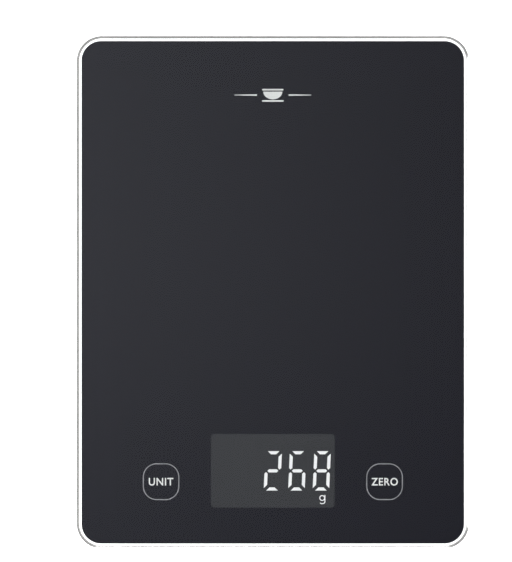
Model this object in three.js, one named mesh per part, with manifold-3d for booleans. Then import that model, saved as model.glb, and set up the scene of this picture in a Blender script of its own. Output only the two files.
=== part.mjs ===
// A glass-topped kitchen scale with four load cells, a numeric display and a battery door.
// Millimetres, +Z up, +X to the right and +Y to the back of a person reading the display.
// The origin is on the surface that the scale stands on, under the middle of the glass.
import * as THREE from 'three';
import { mergeVertices } from 'three/addons/utils/BufferGeometryUtils.js';
import Module from 'manifold-3d';

const wasm = await Module();
wasm.setup();

// Levels of the stack, from the surface it stands on up to the top of the glass.
const LEVEL = {
  floor: 3, floorTop: 5, coverRim: 9.4, skirt: 9.5, board: 10, boardTop: 11.2,
  plate: 14.3, plateTop: 15.9, glass: 16.5, glassTop: 20.5,
};
const FIT = 0.1; // gap between faces that touch
const SLIDING_FIT = 0.3; // gap round what is put in or swings

const GLASS = { width: 173, length: 226, corner: 11.5, arris: 0.7 };
const PRINT = { border: 2.05, thick: 0.08, below: 0.04 };
const TAPE = { inset: 2, width: 8, thick: 0.3 };
const HOUSING = { width: 161, length: 214, corner: 8, wall: 2, skirtWall: 1.6, draft: 4 };
const LIP = { gap: 0.2, thick: 1.2, height: 1.5, root: 1.4 };
const SIDES = { fine: 24, round: 16, plain: 12, small: 8 }; // of the round pieces and holes

const DISPLAY = { y: -79.3, width: 54.6, height: 32.5, corner: 1.5 };
const BLOCK = { width: 58, height: 36, corner: 0.6, filter: 0.4, filterInset: 0.5, wellDepth: 3.4 };
const DIGIT = {
  count: 5, pitch: 10.8, middle: 0.2, width: 7.3, height: 17.5, line: 1.65, slant: 0.045, gap: 0.35,
};
const UNIT_MARK = { y: -91.9, width: 5, height: 4, lastDigit: 22.1, count: 4 };
const TOUCH = { x: 49.5, y: -84, radius: 4.5, wire: 0.3, turns: 4, hole: 6.5 };

const BOARD = { halfWidth: 34, front: -98.5, back: -60, earX: 54.5, earFront: -90, earBack: -78 };
const BOARD_POST = { x: 31.8, front: -95.6, back: -62.6, radius: 1.9 };
const CHIPS = [
  { name: 'control_chip', x: -12, y: -81, width: 10, length: 10, height: 1.6 },
  { name: 'converter_chip', x: 12, y: -85.5, width: 6, length: 5, height: 1.4 },
];
const CAPACITOR = { x: -4, y: -92.5, radius: 2, length: 6, crimp: 0.35 };

const FOOT = { x: 60, y: 87, pad: 8.8, padHeight: 2.1, hole: 10.7, cap: 10.2, flange: 11.6, boss: 3.5 };
const FOOT_LEVEL = { rim: 1, recess: 2.2, flange: 5.2, flangeTop: 5.9, bossTop: 6.25 };
const FOOT_EDGE = { padGap: 0.15, cap: 0.5, pad: 0.7 };
const FOOT_WELL = { gap: 0.5, wall: 1.3, top: 6.2 };
const CELL_PLATE = { size: 24, corner: 2, base: 6.6, thick: 1, slotOuter: 8, slotInner: 5.5 };
const HOLDER = {
  size: 28, corner: 3, base: 6.3, top: 9.6, seat: 7.75, play: 0.2, opening: 18, post: 12, postRadius: 2.4,
};
// The tray under the glass: its window over the battery bay, and the two ribs beside it.
const TRAY = {
  bayWidth: 60, bayLength: 56, bayShift: -6.5, windowGap: 0.3,
  ribX: 33, ribHalf: 0.6, ribFront: -57, ribBack: 96, ribDepth: 2.6,
};

// The battery bay: three AAA cells side by side along X, in a box that hangs from the cover's floor.
const BAY = { y: 12, halfLength: 25.4, halfWidth: 17.2, wall: 1.3, ceiling: 15.4, roof: 16.2 };
const AAA = { radius: 5.25, length: 44.5, edge: 0.4, nub: 1.9, nubLength: 0.8, pitch: 11.2, axisZ: 9.95 };
const CONTACT = {
  thick: 0.4, width: 9.4, base: 5.4, top: 14.6, tabWidth: 4, tabZ: 11.3, tabReach: 31.4, slotReach: 32,
};
const CELL_SPRING = { wide: 3.4, narrow: 2.2, wire: 0.3, turns: 3 };
const DOOR = { halfLength: 27.4, halfWidth: 19, thick: 1.4, corner: 1.5, arris: 0.3, seat: 4.7 };
const GRIP = { count: 3, first: 2.2, pitch: 1.8, halfWidth: 8, taper: 1, wide: 0.8, depth: 0.35 };
const DOOR_TAB = {
  x: 20, width: 6, root: 17.5, tip: 21.2, base: 5.15, thick: 1, pocketTop: 8.6, pocketDepth: 3,
};
const LATCH = {
  halfWidth: 5, strip: 1, inner: -21.3, outer: -24.9, root: 3.6, bend: 9.5, lip: 3.4, hookTop: 8.3,
  hookTip: 0.25,
};
const LATCH_WELL = { halfWidth: 6.2, mouth: -25.5, back: -26.8, step: 7, ceiling: 11.5, wall: 1.2 };
const SCOOP = { halfWidth: 7, radius: 8, y: -26, z: -2.6, end: -33.5, roof: 7 };

const CASE_SCREW = {
  head: 2.6, headHeight: 1.6, shank: 1, base: 4.3, tip: 13.4,
  headGap: 0.5, shankGap: 0.4, boss: 4.6, bossTop: 8, post: 3.2, postBase: 8.2,
};
const CASE_SCREW_AT = [[-67, -48], [67, -48], [-67, 48], [67, 48], [0, -50], [0, 97]];
const BOARD_SCREW = { head: 1.8, headHeight: 1.3, shank: 0.75, base: 8.6, tip: 14.5 };
// A screw's shape as shares of its head: the crown, the cross in it, and the length of the point.
const SCREW = { crown: 0.75, crownHeight: 0.4, cross: 0.6, slot: 0.11, crossDepth: 0.6, point: 1.2 };
const LABEL = { y: 64, width: 66, height: 24, corner: 2, depth: 0.3 };

const LEAD = { cell: 0.8, battery: 0.6, gap: 0.2, rise: 1.3 };

const FINISH = {
  glass: { color: 0xdce8e4, roughness: 0.03, metalness: 0, transparent: true, opacity: 0.35 },
  ink: { color: 0x101012, roughness: 0.25, metalness: 0 },
  tape: { color: 0x2b2b2b, roughness: 0.9, metalness: 0 },
  plastic: { color: 0x1d1d20, roughness: 0.6, metalness: 0 },
  holder: { color: 0xd8d8d4, roughness: 0.6, metalness: 0 },
  filter: { color: 0x303034, roughness: 0.15, metalness: 0 },
  reflector: { color: 0x26262a, roughness: 0.5, metalness: 0 },
  board: { color: 0x1f5b36, roughness: 0.45, metalness: 0 },
  chip: { color: 0x161616, roughness: 0.5, metalness: 0 },
  can: { color: 0x2a3a66, roughness: 0.35, metalness: 0.2 },
  steel: { color: 0xb9bcc0, roughness: 0.35, metalness: 1 },
  rubber: { color: 0x3a3a3c, roughness: 0.9, metalness: 0 },
  sleeve: { color: 0x2f5d50, roughness: 0.35, metalness: 0.3 },
  greyLead: { color: 0x8b8b8b, roughness: 0.6, metalness: 0 },
  redLead: { color: 0xa02020, roughness: 0.6, metalness: 0 },
  blackLead: { color: 0x18181a, roughness: 0.6, metalness: 0 },
};

const scale = new THREE.Group();

// --- joining and cutting ---------------------------------------------------------------------

function solid(geometry) {
  const bare = geometry.clone();
  bare.deleteAttribute('normal');
  bare.deleteAttribute('uv');
  const welded = mergeVertices(bare, 1e-4);
  return new wasm.Manifold(new wasm.Mesh({
    numProp: 3,
    vertProperties: new Float32Array(welded.attributes.position.array),
    triVerts: new Uint32Array(welded.index.array),
  }));
}

function join(first, ...others) {
  return others.reduce((whole, piece) => whole.add(piece), first);
}

function cut(whole, ...tools) {
  return tools.reduce((rest, tool) => rest.subtract(tool), whole);
}

function geometryOf(manifold) {
  const { vertProperties, triVerts } = manifold.getMesh();
  const geometry = new THREE.BufferGeometry();
  geometry.setAttribute('position', new THREE.BufferAttribute(new Float32Array(vertProperties), 3));
  geometry.setIndex(new THREE.BufferAttribute(new Uint32Array(triVerts), 1));
  geometry.computeVertexNormals();
  return geometry;
}

function add(name, shape, finish) {
  const geometry = shape.isBufferGeometry ? shape : geometryOf(shape);
  const mesh = new THREE.Mesh(geometry, new THREE.MeshStandardMaterial(finish));
  mesh.name = name;
  scale.add(mesh);
  return mesh;
}

// --- plain shapes ----------------------------------------------------------------------------

function roundedRect(width, length, corner, x = 0, y = 0, Kind = THREE.Shape) {
  const [w, l] = [width / 2, length / 2];
  const outline = new Kind();
  outline.moveTo(x + w, y - l + corner);
  outline.absarc(x + w - corner, y + l - corner, corner, 0, Math.PI / 2);
  outline.absarc(x - w + corner, y + l - corner, corner, Math.PI / 2, Math.PI);
  outline.absarc(x - w + corner, y - l + corner, corner, Math.PI, 1.5 * Math.PI);
  outline.absarc(x + w - corner, y - l + corner, corner, 1.5 * Math.PI, 2 * Math.PI);
  return outline;
}

function slab(shape, from, to, curveSegments = 4) {
  const depth = to - from;
  const geometry = new THREE.ExtrudeGeometry(shape, { depth, bevelEnabled: false, curveSegments });
  return geometry.translate(0, 0, from);
}

// A plate whose two rims curve in by `size` over the height `thickness`.
function roundedSlab(shape, from, to, size, thickness, bevelSegments, curveSegments = 6) {
  const geometry = new THREE.ExtrudeGeometry(shape, {
    depth: to - from - 2 * thickness,
    bevelSize: size,
    bevelOffset: -size,
    bevelThickness: thickness,
    bevelSegments,
    curveSegments,
  });
  return geometry.translate(0, 0, from + thickness);
}

function box(x, y, from, to) {
  const geometry = new THREE.BoxGeometry(x[1] - x[0], y[1] - y[0], to - from);
  return geometry.translate((x[0] + x[1]) / 2, (y[0] + y[1]) / 2, (from + to) / 2);
}

function disc(radius, from, to, x = 0, y = 0, segments = SIDES.plain) {
  const geometry = new THREE.CylinderGeometry(radius, radius, to - from, segments);
  return geometry.rotateX(Math.PI / 2).translate(x, y, (from + to) / 2);
}

// Turns a list of [radius, height], from the lower end of the axis to the upper, about Z.
function turned(profile, segments = SIDES.round) {
  const points = profile.map(([radius, height]) => new THREE.Vector2(radius, height));
  return new THREE.LatheGeometry(points, segments).rotateX(Math.PI / 2);
}

// A section drawn in Y and Z, made `halfWidth` long to either side of x = 0.
function acrossX(shape, halfWidth, curveSegments = 4) {
  const geometry = slab(shape, -halfWidth, halfWidth, curveSegments);
  const [x, y, z] = [new THREE.Vector3(1, 0, 0), new THREE.Vector3(0, 1, 0), new THREE.Vector3(0, 0, 1)];
  return geometry.applyMatrix4(new THREE.Matrix4().makeBasis(y, z, x));
}

function tube(path, radius, sides, steps) {
  const section = new THREE.Shape();
  for (let i = 0; i < sides; i += 1) {
    const angle = (2 * Math.PI * i) / sides;
    const [x, y] = [radius * Math.cos(angle), radius * Math.sin(angle)];
    if (i === 0) section.moveTo(x, y);
    else section.lineTo(x, y);
  }
  section.closePath();
  return new THREE.ExtrudeGeometry(section, { steps, extrudePath: path, bevelEnabled: false });
}

class Coil extends THREE.Curve {
  constructor(bottomRadius, topRadius, height, turns) {
    super();
    Object.assign(this, { bottomRadius, topRadius, height, turns });
  }

  getPoint(t, target = new THREE.Vector3()) {
    const angle = 2 * Math.PI * this.turns * t;
    const radius = THREE.MathUtils.lerp(this.bottomRadius, this.topRadius, t);
    return target.set(radius * Math.cos(angle), radius * Math.sin(angle), this.height * t);
  }
}

function coilSpring({ bottom, top, height, turns, wire }) {
  const stepsPerTurn = 8;
  return tube(new Coil(bottom, top, height, turns), wire, 4, Math.round(turns * stepsPerTurn));
}

function lead(points, radius, steps) {
  const path = new THREE.CatmullRomCurve3(points.map((p) => new THREE.Vector3(...p)), false, 'centripetal');
  return tube(path, radius, 8, steps);
}

function forEachCorner(make) {
  for (const [end, ySign] of [['front', -1], ['back', 1]]) {
    for (const [side, xSign] of [['left', -1], ['right', 1]]) make(`${end}_${side}`, xSign, ySign);
  }
}

// --- the glass and what is on its underside --------------------------------------------------

function platformGlass() {
  const outline = roundedRect(GLASS.width, GLASS.length, GLASS.corner);
  return roundedSlab(outline, LEVEL.glass, LEVEL.glassTop, GLASS.arris, GLASS.arris, 1, 8);
}

// The ink on the underside, short of the edge all round, with the window left clear.
function glassPrint() {
  const inset = 2 * PRINT.border;
  const sheet = roundedRect(GLASS.width - inset, GLASS.length - inset, GLASS.corner - PRINT.border);
  sheet.holes.push(roundedRect(DISPLAY.width, DISPLAY.height, DISPLAY.corner, 0, DISPLAY.y, THREE.Path));
  const top = LEVEL.glass - PRINT.below;
  return slab(sheet, top - PRINT.thick, top, 5);
}

// The housing's outline, `inset` inside its side, as a ring `wide` across.
function housingRing(inset, wide) {
  const [width, length] = [HOUSING.width - 2 * inset, HOUSING.length - 2 * inset];
  const ring = roundedRect(width, length, HOUSING.corner - inset);
  const innerCorner = Math.max(HOUSING.corner - inset - wide, 1);
  ring.holes.push(roundedRect(width - 2 * wide, length - 2 * wide, innerCorner, 0, 0, THREE.Path));
  return ring;
}

function glassTape() {
  const base = LEVEL.plateTop + FIT;
  return slab(housingRing(TAPE.inset, TAPE.width), base, base + TAPE.thick);
}

// --- the housing -----------------------------------------------------------------------------

function screwPost(screw, radius, x, y, from) {
  const post = solid(disc(radius, from, LEVEL.plate + FIT, x, y, SIDES.small));
  const pilot = solid(disc(screw.shank + 2 * FIT, from - 1, screw.tip + SLIDING_FIT, x, y, SIDES.small));
  return { post, pilot };
}

function boardPosts() {
  const spots = [];
  for (const x of [-BOARD_POST.x, BOARD_POST.x]) {
    for (const y of [BOARD_POST.front, BOARD_POST.back]) spots.push([x, y]);
  }
  return spots;
}

// One window holds the display block, the other clears the battery bay with its well and scoop.
function frameWindows() {
  const gap = 2 * TRAY.windowGap;
  const windows = [
    roundedRect(BLOCK.width + gap, BLOCK.height + gap, BLOCK.corner, 0, DISPLAY.y),
    roundedRect(TRAY.bayWidth, TRAY.bayLength, DOOR.corner, 0, BAY.y + TRAY.bayShift),
  ];
  return windows.map((shape) => solid(slab(shape, LEVEL.plate - 1, LEVEL.plateTop + 1, 2)));
}

// The tray that the glass is stuck on: a plate with a skirt, posts and stiffening ribs under it.
function upperFrame() {
  const outline = roundedRect(HOUSING.width, HOUSING.length, HOUSING.corner);
  let frame = join(
    solid(slab(outline, LEVEL.plate, LEVEL.plateTop)),
    solid(slab(housingRing(0, HOUSING.skirtWall), LEVEL.skirt, LEVEL.plate + FIT)),
  );
  for (const side of [-1, 1]) {
    const rib = [side * TRAY.ribX - TRAY.ribHalf, side * TRAY.ribX + TRAY.ribHalf];
    const ribBase = LEVEL.plate - TRAY.ribDepth;
    frame = join(frame, solid(box(rib, [TRAY.ribFront, TRAY.ribBack], ribBase, LEVEL.plate + FIT)));
  }
  frame = cut(frame, ...frameWindows());
  for (const side of [-1, 1]) {
    const hole = disc(TOUCH.hole, LEVEL.plate - 1, LEVEL.plateTop + 1, side * TOUCH.x, TOUCH.y);
    frame = cut(frame, solid(hole));
  }
  forEachCorner((name, sx, sy) => {
    for (const [dx, dy] of [[-1, -1], [1, -1], [1, 1], [-1, 1]]) {
      const [x, y] = [sx * FOOT.x + dx * HOLDER.post, sy * FOOT.y + dy * HOLDER.post];
      const post = disc(HOLDER.postRadius, HOLDER.top + FIT, LEVEL.plate + FIT, x, y, SIDES.small);
      frame = join(frame, solid(post));
    }
  });
  const casePosts = CASE_SCREW_AT.map(([x, y]) => (
    screwPost(CASE_SCREW, CASE_SCREW.post, x, y, CASE_SCREW.postBase)));
  const smallPosts = boardPosts().map(([x, y]) => (
    screwPost(BOARD_SCREW, BOARD_POST.radius, x, y, LEVEL.boardTop + FIT)));
  for (const { post, pilot } of [...casePosts, ...smallPosts]) frame = cut(join(frame, post), pilot);
  return frame;
}

function bayBox(halfLength, halfWidth, from, to) {
  return solid(box([-halfLength, halfLength], [BAY.y - halfWidth, BAY.y + halfWidth], from, to));
}

// The walls round the cells, the latch well and the finger scoop, before anything is cut out.
function bayWalls() {
  const outer = bayBox(
    DOOR.halfLength + SLIDING_FIT + BAY.wall, DOOR.halfWidth + SLIDING_FIT + BAY.wall, LEVEL.floor, BAY.roof,
  );
  const well = LATCH_WELL.halfWidth + LATCH_WELL.wall;
  const wellBox = box(
    [-well, well], [BAY.y + LATCH_WELL.back - LATCH_WELL.wall, BAY.y], LEVEL.floor,
    LATCH_WELL.ceiling + LATCH_WELL.wall,
  );
  const scoop = SCOOP.halfWidth + LATCH_WELL.wall;
  const scoopBox = box([-scoop, scoop], [BAY.y + SCOOP.end, BAY.y], LEVEL.floor, SCOOP.roof);
  return join(outer, solid(wellBox), solid(scoopBox));
}

function bayCuts() {
  const below = LEVEL.floor - 1;
  const cavity = bayBox(BAY.halfLength, BAY.halfWidth, below, BAY.ceiling);
  const rebate = bayBox(DOOR.halfLength + SLIDING_FIT, DOOR.halfWidth + SLIDING_FIT, below, DOOR.seat);
  const well = [-LATCH_WELL.halfWidth, LATCH_WELL.halfWidth];
  const inside = BAY.y - DOOR.halfWidth;
  const mouth = solid(box(well, [BAY.y + LATCH_WELL.mouth, inside], below, LATCH_WELL.step + FIT));
  const upper = solid(box(well, [BAY.y + LATCH_WELL.back, inside], LATCH_WELL.step, LATCH_WELL.ceiling));
  const scoop = new THREE.CylinderGeometry(SCOOP.radius, SCOOP.radius, 2 * SCOOP.halfWidth, SIDES.fine)
    .rotateZ(Math.PI / 2).translate(0, BAY.y + SCOOP.y, SCOOP.z);
  const cuts = [cavity, rebate, mouth, upper, solid(scoop)];
  for (const side of [-1, 1]) {
    const half = DOOR_TAB.width / 2 + 2 * SLIDING_FIT;
    const x = [side * DOOR_TAB.x - half, side * DOOR_TAB.x + half];
    const edge = BAY.y + DOOR.halfWidth + SLIDING_FIT;
    const pocketEnd = edge + DOOR_TAB.pocketDepth;
    cuts.push(solid(box(x, [BAY.y + BAY.halfWidth - 1, edge], DOOR.seat - FIT, DOOR_TAB.pocketTop)));
    cuts.push(solid(box(x, [edge - FIT, pocketEnd], LEVEL.floorTop, DOOR_TAB.pocketTop)));
    const slotStart = side * (BAY.halfLength - 1);
    const slot = side > 0 ? [slotStart, CONTACT.slotReach] : [-CONTACT.slotReach, slotStart];
    const slotHalf = CONTACT.tabWidth / 2 + SLIDING_FIT;
    const y = BAY.y - side * AAA.pitch;
    const [slotBase, slotTop] = [CONTACT.tabZ - SLIDING_FIT, CONTACT.tabZ + CONTACT.thick + SLIDING_FIT];
    cuts.push(solid(box(slot, [y - slotHalf, y + slotHalf], slotBase, slotTop)));
  }
  return cuts;
}

// A dish with a curved lower rim, which runs on past the level where the cover is cut off.
function dish(inset, floor) {
  const [width, length] = [HOUSING.width - 2 * inset, HOUSING.length - 2 * inset];
  const outline = roundedRect(width, length, HOUSING.corner - inset);
  const rise = LEVEL.coverRim - floor;
  return solid(roundedSlab(outline, floor, LEVEL.coverRim + 2 * rise, HOUSING.draft, rise, 3, 4));
}

function footWell(x, y) {
  const [recess, hole] = [FOOT.flange + FOOT_WELL.gap, FOOT.hole];
  const above = FOOT_WELL.top + 1;
  return {
    ring: solid(disc(recess + FOOT_WELL.wall, LEVEL.floor, FOOT_WELL.top, x, y, SIDES.round)),
    holes: [
      solid(disc(recess, LEVEL.floorTop, above, x, y, SIDES.round)),
      solid(disc(hole, LEVEL.floor - 1, above, x, y, SIDES.round)),
    ],
  };
}

function caseScrewHoles(x, y) {
  const { base, head, headHeight, headGap, shank, shankGap, bossTop } = CASE_SCREW;
  const seat = base + headHeight + FIT;
  return [
    solid(disc(head + headGap, LEVEL.floor - 1, seat, x, y)),
    solid(disc(shank + shankGap, seat - FIT, bossTop + 1, x, y, SIDES.small)),
  ];
}

function lowerCover() {
  const [halfWidth, halfLength] = [GLASS.width / 2, GLASS.length / 2];
  const above = box([-halfWidth, halfWidth], [-halfLength, halfLength], LEVEL.coverRim, 3 * LEVEL.coverRim);
  const lip = housingRing(HOUSING.skirtWall + LIP.gap, LIP.thick);
  let cover = cut(dish(0, LEVEL.floor), solid(above), dish(HOUSING.wall, LEVEL.floorTop));
  cover = join(cover, solid(slab(lip, LEVEL.coverRim - LIP.root, LEVEL.coverRim + LIP.height, 4)));
  const bosses = CASE_SCREW_AT.map(([x, y]) => (
    solid(disc(CASE_SCREW.boss, LEVEL.floor, CASE_SCREW.bossTop, x, y))));
  cover = join(cover, bayWalls(), ...bosses);
  forEachCorner((name, sx, sy) => {
    const { ring, holes } = footWell(sx * FOOT.x, sy * FOOT.y);
    cover = cut(join(cover, ring), ...holes);
  });
  for (const [x, y] of CASE_SCREW_AT) cover = cut(cover, ...caseScrewHoles(x, y));
  const label = roundedRect(LABEL.width, LABEL.height, LABEL.corner, 0, LABEL.y);
  return cut(cover, ...bayCuts(), solid(slab(label, LEVEL.floor - 1, LEVEL.floor + LABEL.depth)));
}

// --- the battery door ------------------------------------------------------------------------

// A springy U, up one side of the latch well and down the other, with a hook over the well's step.
function latchSection() {
  const { inner, outer, strip, root, bend, lip, hookTop, hookTip } = LATCH;
  const middle = (inner + outer) / 2;
  const radius = (inner - outer) / 2;
  const hookBase = LATCH_WELL.step + SLIDING_FIT;
  const section = new THREE.Shape();
  section.moveTo(inner, root);
  section.absarc(middle, bend, radius, 0, Math.PI);
  section.lineTo(outer, hookTop);
  section.lineTo(outer - hookTip, hookBase);
  section.lineTo(outer, hookBase);
  section.lineTo(outer, lip);
  section.lineTo(outer + strip, lip);
  section.absarc(middle, bend, radius - strip, Math.PI, 0, true);
  section.lineTo(inner - strip, root);
  section.closePath();
  return section;
}

function doorTab(side) {
  const { x: middle, width, root, tip, base, thick } = DOOR_TAB;
  const x = [side * middle - width / 2, side * middle + width / 2];
  const riserBase = LEVEL.floor + DOOR.thick / 2;
  const riser = solid(box(x, [root, DOOR.halfWidth - FIT], riserBase, base + thick));
  return join(riser, solid(box(x, [root, tip], base, base + thick)));
}

function gripGroove(index) {
  const y = -DOOR.halfWidth + GRIP.first + GRIP.pitch * index;
  const half = GRIP.halfWidth - GRIP.taper * index;
  return solid(box([-half, half], [y, y + GRIP.wide], LEVEL.floor - 1, LEVEL.floor + GRIP.depth));
}

function batteryCover() {
  const top = LEVEL.floor + DOOR.thick;
  const outline = roundedRect(2 * DOOR.halfLength, 2 * DOOR.halfWidth, DOOR.corner);
  const plate = solid(roundedSlab(outline, LEVEL.floor, top, DOOR.arris, DOOR.arris, 1, 3));
  const tongueY = [LATCH.inner - LATCH.strip, -DOOR.halfWidth + 1];
  const tongue = solid(box([-LATCH.halfWidth, LATCH.halfWidth], tongueY, LEVEL.floor, top));
  const latch = solid(acrossX(latchSection(), LATCH.halfWidth, 5));
  let door = join(plate, tongue, latch, doorTab(-1), doorTab(1));
  for (let i = 0; i < GRIP.count; i += 1) door = cut(door, gripGroove(i));
  return door.translate([0, BAY.y, 0]);
}

// --- cells and contacts ----------------------------------------------------------------------

const cellY = (index) => BAY.y + (index - 1) * AAA.pitch;
const nubSide = (index) => (index % 2 === 0 ? 1 : -1); // the cells lie head to tail
const contactFace = BAY.halfLength - FIT - CONTACT.thick;

function aaaCell() {
  const { radius, length, edge, nub, nubLength } = AAA;
  const shoulder = length - nubLength;
  return turned([
    [0, 0], [radius - edge, 0], [radius, edge], [radius, shoulder - edge], [radius - edge, shoulder],
    [nub, shoulder], [nub, length], [0, length],
  ], SIDES.plain);
}

function addCells() {
  const springSpace = 2 * contactFace - AAA.length - FIT;
  for (let i = 0; i < 3; i += 1) {
    const side = nubSide(i);
    const cell = add(`battery_${i + 1}`, aaaCell(), FINISH.sleeve);
    cell.rotation.y = side * Math.PI / 2;
    cell.position.set(side * (contactFace - FIT - AAA.length), cellY(i), AAA.axisZ);
    const { wide, narrow, wire, turns } = CELL_SPRING;
    const height = springSpace - 2 * wire - 2 * FIT;
    const spring = add(
      `battery_spring_${i + 1}`, coilSpring({ bottom: wide, top: narrow, height, turns, wire }), FINISH.steel,
    );
    spring.rotation.y = side * Math.PI / 2;
    spring.position.set(-side * (contactFace - wire - FIT), cellY(i), AAA.axisZ);
  }
}

function contactPlate(side, centreY, width, withTab) {
  const face = side * contactFace;
  const x = side > 0 ? [face, face + CONTACT.thick] : [face - CONTACT.thick, face];
  const plate = solid(box(x, [centreY - width / 2, centreY + width / 2], CONTACT.base, CONTACT.top));
  if (!withTab) return plate;
  const reach = side > 0 ? [face, CONTACT.tabReach] : [-CONTACT.tabReach, face];
  const y = [centreY - CONTACT.tabWidth / 2, centreY + CONTACT.tabWidth / 2];
  return join(plate, solid(box(reach, y, CONTACT.tabZ, CONTACT.tabZ + CONTACT.thick)));
}

function addContacts() {
  const double = CONTACT.width + AAA.pitch;
  const half = AAA.pitch / 2;
  add('battery_contact_positive', contactPlate(1, cellY(0), CONTACT.width, true), FINISH.steel);
  add('battery_contact_right_link', contactPlate(1, BAY.y + half, double, false), FINISH.steel);
  add('battery_contact_left_link', contactPlate(-1, BAY.y - half, double, false), FINISH.steel);
  add('battery_contact_negative', contactPlate(-1, cellY(2), CONTACT.width, true), FINISH.steel);
}

// --- the display, the board and the touch keys -----------------------------------------------

// The seven bars of a digit, as outlines with pointed ends, about the digit's own centre.
function digitBars() {
  const { width, height, line, gap } = DIGIT;
  const [w, h, t] = [(width - line) / 2, (height - line) / 2, line / 2];
  const across = (y) => [
    [-w + gap, y], [-w + t + gap, y + t], [w - t - gap, y + t], [w - gap, y], [w - t - gap, y - t],
    [-w + t + gap, y - t],
  ];
  const upright = (x, from, to) => [
    [x, from + gap], [x + t, from + t + gap], [x + t, to - t - gap], [x, to - gap], [x - t, to - t - gap],
    [x - t, from + t + gap],
  ];
  return [
    across(-h), across(0), across(h),
    upright(-w, -h, 0), upright(-w, 0, h), upright(w, -h, 0), upright(w, 0, h),
  ];
}

const digitX = (index) => DIGIT.middle + (index - (DIGIT.count - 1) / 2) * DIGIT.pitch;

function displayReflector() {
  const top = LEVEL.plateTop - FIT;
  const shape = roundedRect(BLOCK.width, BLOCK.height, BLOCK.corner, 0, DISPLAY.y);
  let block = solid(slab(shape, LEVEL.boardTop + FIT, top, 1));
  for (let i = 0; i < DIGIT.count; i += 1) {
    for (const bar of digitBars()) {
      const points = bar.map(([x, y]) => new THREE.Vector2(digitX(i) + x + DIGIT.slant * y, DISPLAY.y + y));
      block = cut(block, solid(slab(new THREE.Shape(points), top - BLOCK.wellDepth, top + 1)));
    }
  }
  for (let i = 0; i < UNIT_MARK.count; i += 1) {
    const x = UNIT_MARK.lastDigit - i * DIGIT.pitch;
    const mark = box(
      [x - UNIT_MARK.width / 2, x + UNIT_MARK.width / 2],
      [UNIT_MARK.y - UNIT_MARK.height / 2, UNIT_MARK.y + UNIT_MARK.height / 2],
      top - BLOCK.wellDepth, top + 1,
    );
    block = cut(block, solid(mark));
  }
  return block;
}

function displayFilter() {
  const inset = 2 * BLOCK.filterInset;
  const shape = roundedRect(BLOCK.width - inset, BLOCK.height - inset, BLOCK.corner, 0, DISPLAY.y);
  return slab(shape, LEVEL.plateTop, LEVEL.plateTop + BLOCK.filter, 2);
}

function mainBoard() {
  const { halfWidth, front, back, earX, earFront, earBack } = BOARD;
  const outline = new THREE.Shape([
    [-halfWidth, front], [halfWidth, front], [halfWidth, earFront], [earX, earFront], [earX, earBack],
    [halfWidth, earBack], [halfWidth, back], [-halfWidth, back], [-halfWidth, earBack], [-earX, earBack],
    [-earX, earFront], [-halfWidth, earFront],
  ].map(([x, y]) => new THREE.Vector2(x, y)));
  for (const [x, y] of boardPosts()) {
    const hole = new THREE.Path();
    hole.absarc(x, y, BOARD_SCREW.shank + SLIDING_FIT, 0, 2 * Math.PI);
    outline.holes.push(hole);
  }
  return slab(outline, LEVEL.board, LEVEL.boardTop, 3);
}

function chip({ x, y, width, length, height }) {
  const top = LEVEL.board - FIT;
  return box([x - width / 2, x + width / 2], [y - length / 2, y + length / 2], top - height, top);
}

function addCapacitor() {
  const { x, y, radius, length, crimp } = CAPACITOR;
  const can = turned([
    [0, 0], [radius, 0], [radius, length - crimp], [radius - crimp, length], [0, length],
  ], SIDES.plain);
  const capacitor = add('capacitor', can, FINISH.can);
  capacitor.rotation.y = Math.PI / 2;
  capacitor.position.set(x, y, LEVEL.board - 2 * FIT - radius);
}

// A spring on each side stands on an ear of the board and reaches the glass behind a key.
function addTouchSprings() {
  const { x, y, radius, wire, turns } = TOUCH;
  const base = LEVEL.boardTop + FIT + wire;
  const height = LEVEL.glass - PRINT.below - PRINT.thick - FIT - wire - base;
  for (const [name, side] of [['unit', -1], ['zero', 1]]) {
    const spring = coilSpring({ bottom: radius, top: radius, height, turns, wire });
    add(`touch_spring_${name}`, spring, FINISH.steel).position.set(side * x, y, base);
  }
}

function addElectronics() {
  add('display_reflector', displayReflector(), FINISH.reflector);
  add('display_filter', displayFilter(), FINISH.filter);
  add('main_board', mainBoard(), FINISH.board);
  for (const size of CHIPS) add(size.name, chip(size), FINISH.chip);
  addCapacitor();
  addTouchSprings();
}

// --- feet and load cells ---------------------------------------------------------------------

// A sprung steel plate: an outer frame that carries the housing, and a tongue that the foot lifts.
function loadCell() {
  const { size, corner, slotOuter, slotInner, base, thick } = CELL_PLATE;
  const plate = roundedRect(size, size, corner);
  plate.holes.push(new THREE.Path([
    [-slotOuter, slotOuter], [-slotOuter, -slotOuter], [slotOuter, -slotOuter], [slotOuter, slotOuter],
    [slotInner, slotOuter], [slotInner, -slotInner], [-slotInner, -slotInner], [-slotInner, slotOuter],
  ].map(([x, y]) => new THREE.Vector2(x, y))));
  return slab(plate, base, base + thick, 2);
}

function loadCellHolder() {
  const { size, corner, base, top, seat, opening } = HOLDER;
  const body = solid(slab(roundedRect(size, size, corner), base, top, 2));
  const plate = CELL_PLATE.size + 2 * HOLDER.play;
  const recess = solid(slab(roundedRect(plate, plate, CELL_PLATE.corner), base - 1, seat, 2));
  const window = solid(slab(roundedRect(opening, opening, 1), base - 1, top + 1, 1));
  return cut(body, recess, window);
}

function footCap() {
  const { cap, flange, boss, pad } = FOOT;
  const { rim, recess, flange: under, flangeTop, bossTop } = FOOT_LEVEL;
  const [inside, edge] = [pad + FOOT_EDGE.padGap, FOOT_EDGE.cap];
  return turned([
    [0, recess], [inside, recess], [inside, rim], [cap - edge, rim], [cap, rim + edge], [cap, under],
    [flange, under], [flange, flangeTop], [boss, flangeTop], [boss, bossTop], [0, bossTop],
  ]);
}

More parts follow.
